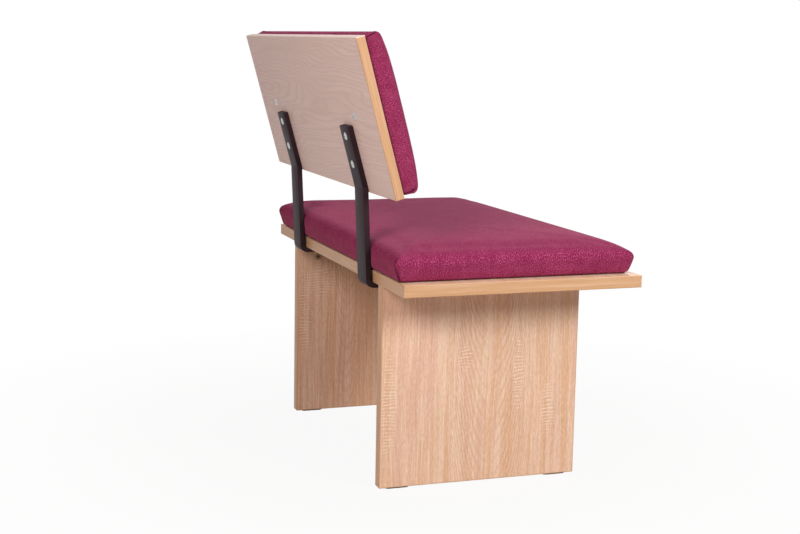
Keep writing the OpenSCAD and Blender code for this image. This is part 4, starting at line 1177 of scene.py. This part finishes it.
class BENCH_OT_stage(bpy.types.Operator):
    """Sets up the floor, the soft lamps, the white surroundings and the camera"""

    bl_idname = "bench.stage"
    bl_label = "Stage, lamps and camera"

    def execute(self, context):
        scene = context.scene
        light = scene.bench_light
        bm = bmesh.new()
        bmesh.ops.create_grid(bm, x_segments=8, y_segments=8, size=12)
        floor = linked("floor", bm)
        floor.data.materials.append(studio_floor(scene.bench_colours))

        self.softbox(scene, "key_softbox", (-2.6, -1.4, 1.8), 1.0, 0.9, light.key, (0.97, 1.0, 0.99))
        self.softbox(scene, "rear_softbox", (-1.9, 2.05, 1.95), 1.3, 1.2, light.rear, (1.0, 0.89, 0.87))
        self.softbox(scene, "fill_softbox", (2.8, -1.6, 1.5), 1.6, 1.4, light.fill, (1.0, 0.95, 0.95))
        self.softbox(scene, "top_softbox", (-0.3, -0.2, 3.0), 2.2, 2.2, light.top, (1.0, 0.95, 0.95))

        world = bpy.data.worlds.new("white_studio")
        scene.world = world
        world.use_nodes = True
        tree = world.node_tree
        strength = add(tree, "MapRange", {
            "Value": seen_directly(tree), "To Min": light.room, "To Max": 1.0,
        }).outputs[0]
        background = tree.nodes["Background"]
        background.inputs["Color"].default_value = (1, 1, 1, 1)
        tree.links.new(strength, background.inputs["Strength"])

        camera = bpy.data.cameras.new("photo_camera")
        camera.sensor_width = 36
        camera.lens = FOCAL * camera.sensor_width / PHOTO_SIZE[0]
        camera.shift_x = (PHOTO_SIZE[0] / 2 - PRINCIPAL[0]) / PHOTO_SIZE[0]
        camera.shift_y = (PRINCIPAL[1] - PHOTO_SIZE[1] / 2) / PHOTO_SIZE[0]
        camera.clip_end = 60
        eye = bpy.data.objects.new("photo_camera", camera)
        eye.location = CAMERA_PLACE
        eye.rotation_euler = Euler([math.radians(a) for a in CAMERA_TURN])
        scene.collection.objects.link(eye)
        scene.camera = eye
        scene.view_settings.view_transform = "Standard"
        return {"FINISHED"}

    def softbox(self, scene, name, place, width, height, power, tint):
        """A square-edged soft lamp that faces the middle of the bench."""
        lamp = bpy.data.lights.new(name, "AREA")
        lamp.shape = "RECTANGLE"
        lamp.size, lamp.size_y = width, height
        lamp.energy = power
        lamp.color = tint
        box = bpy.data.objects.new(name, lamp)
        box.location = place
        box.rotation_euler = (Vector((0, 0, 0.45)) - Vector(place)).to_track_quat("-Z", "Y").to_euler()
        scene.collection.objects.link(box)


class BENCH_PT_panel(bpy.types.Panel):
    """Sizes, colours and lamps of the bench, and the steps that make it"""

    bl_label = "Bench with backrest"
    bl_idname = "BENCH_PT_panel"
    bl_space_type = "VIEW_3D"
    bl_region_type = "UI"
    bl_category = "Bench"

    def draw(self, context):
        for group in (context.scene.bench_sizes, context.scene.bench_colours, context.scene.bench_light):
            box = self.layout.box()
            for name in group.bl_rna.properties.keys():
                if name not in {"rna_type", "name"}:
                    box.prop(group, name)
        for step in STEPS:
            self.layout.operator(step.bl_idname)


STEPS = (BENCH_OT_stage, BENCH_OT_boards, BENCH_OT_bars, BENCH_OT_fittings, BENCH_OT_pads)
CLASSES = (BenchSizes, BenchColours, BenchLight, *STEPS, BENCH_PT_panel)


def register():
    for kind in CLASSES:
        bpy.utils.register_class(kind)
    bpy.types.Scene.bench_sizes = PointerProperty(type=BenchSizes)
    bpy.types.Scene.bench_colours = PointerProperty(type=BenchColours)
    bpy.types.Scene.bench_light = PointerProperty(type=BenchLight)


def unregister():
    del bpy.types.Scene.bench_light
    del bpy.types.Scene.bench_colours
    del bpy.types.Scene.bench_sizes
    for kind in reversed(CLASSES):
        bpy.utils.unregister_class(kind)


def main():
    register()
    bpy.ops.bench.stage()
    bpy.ops.bench.boards()
    bpy.ops.bench.bars()
    bpy.ops.bench.fittings()
    bpy.ops.bench.pads()


if __name__ == "__main__":
    main()
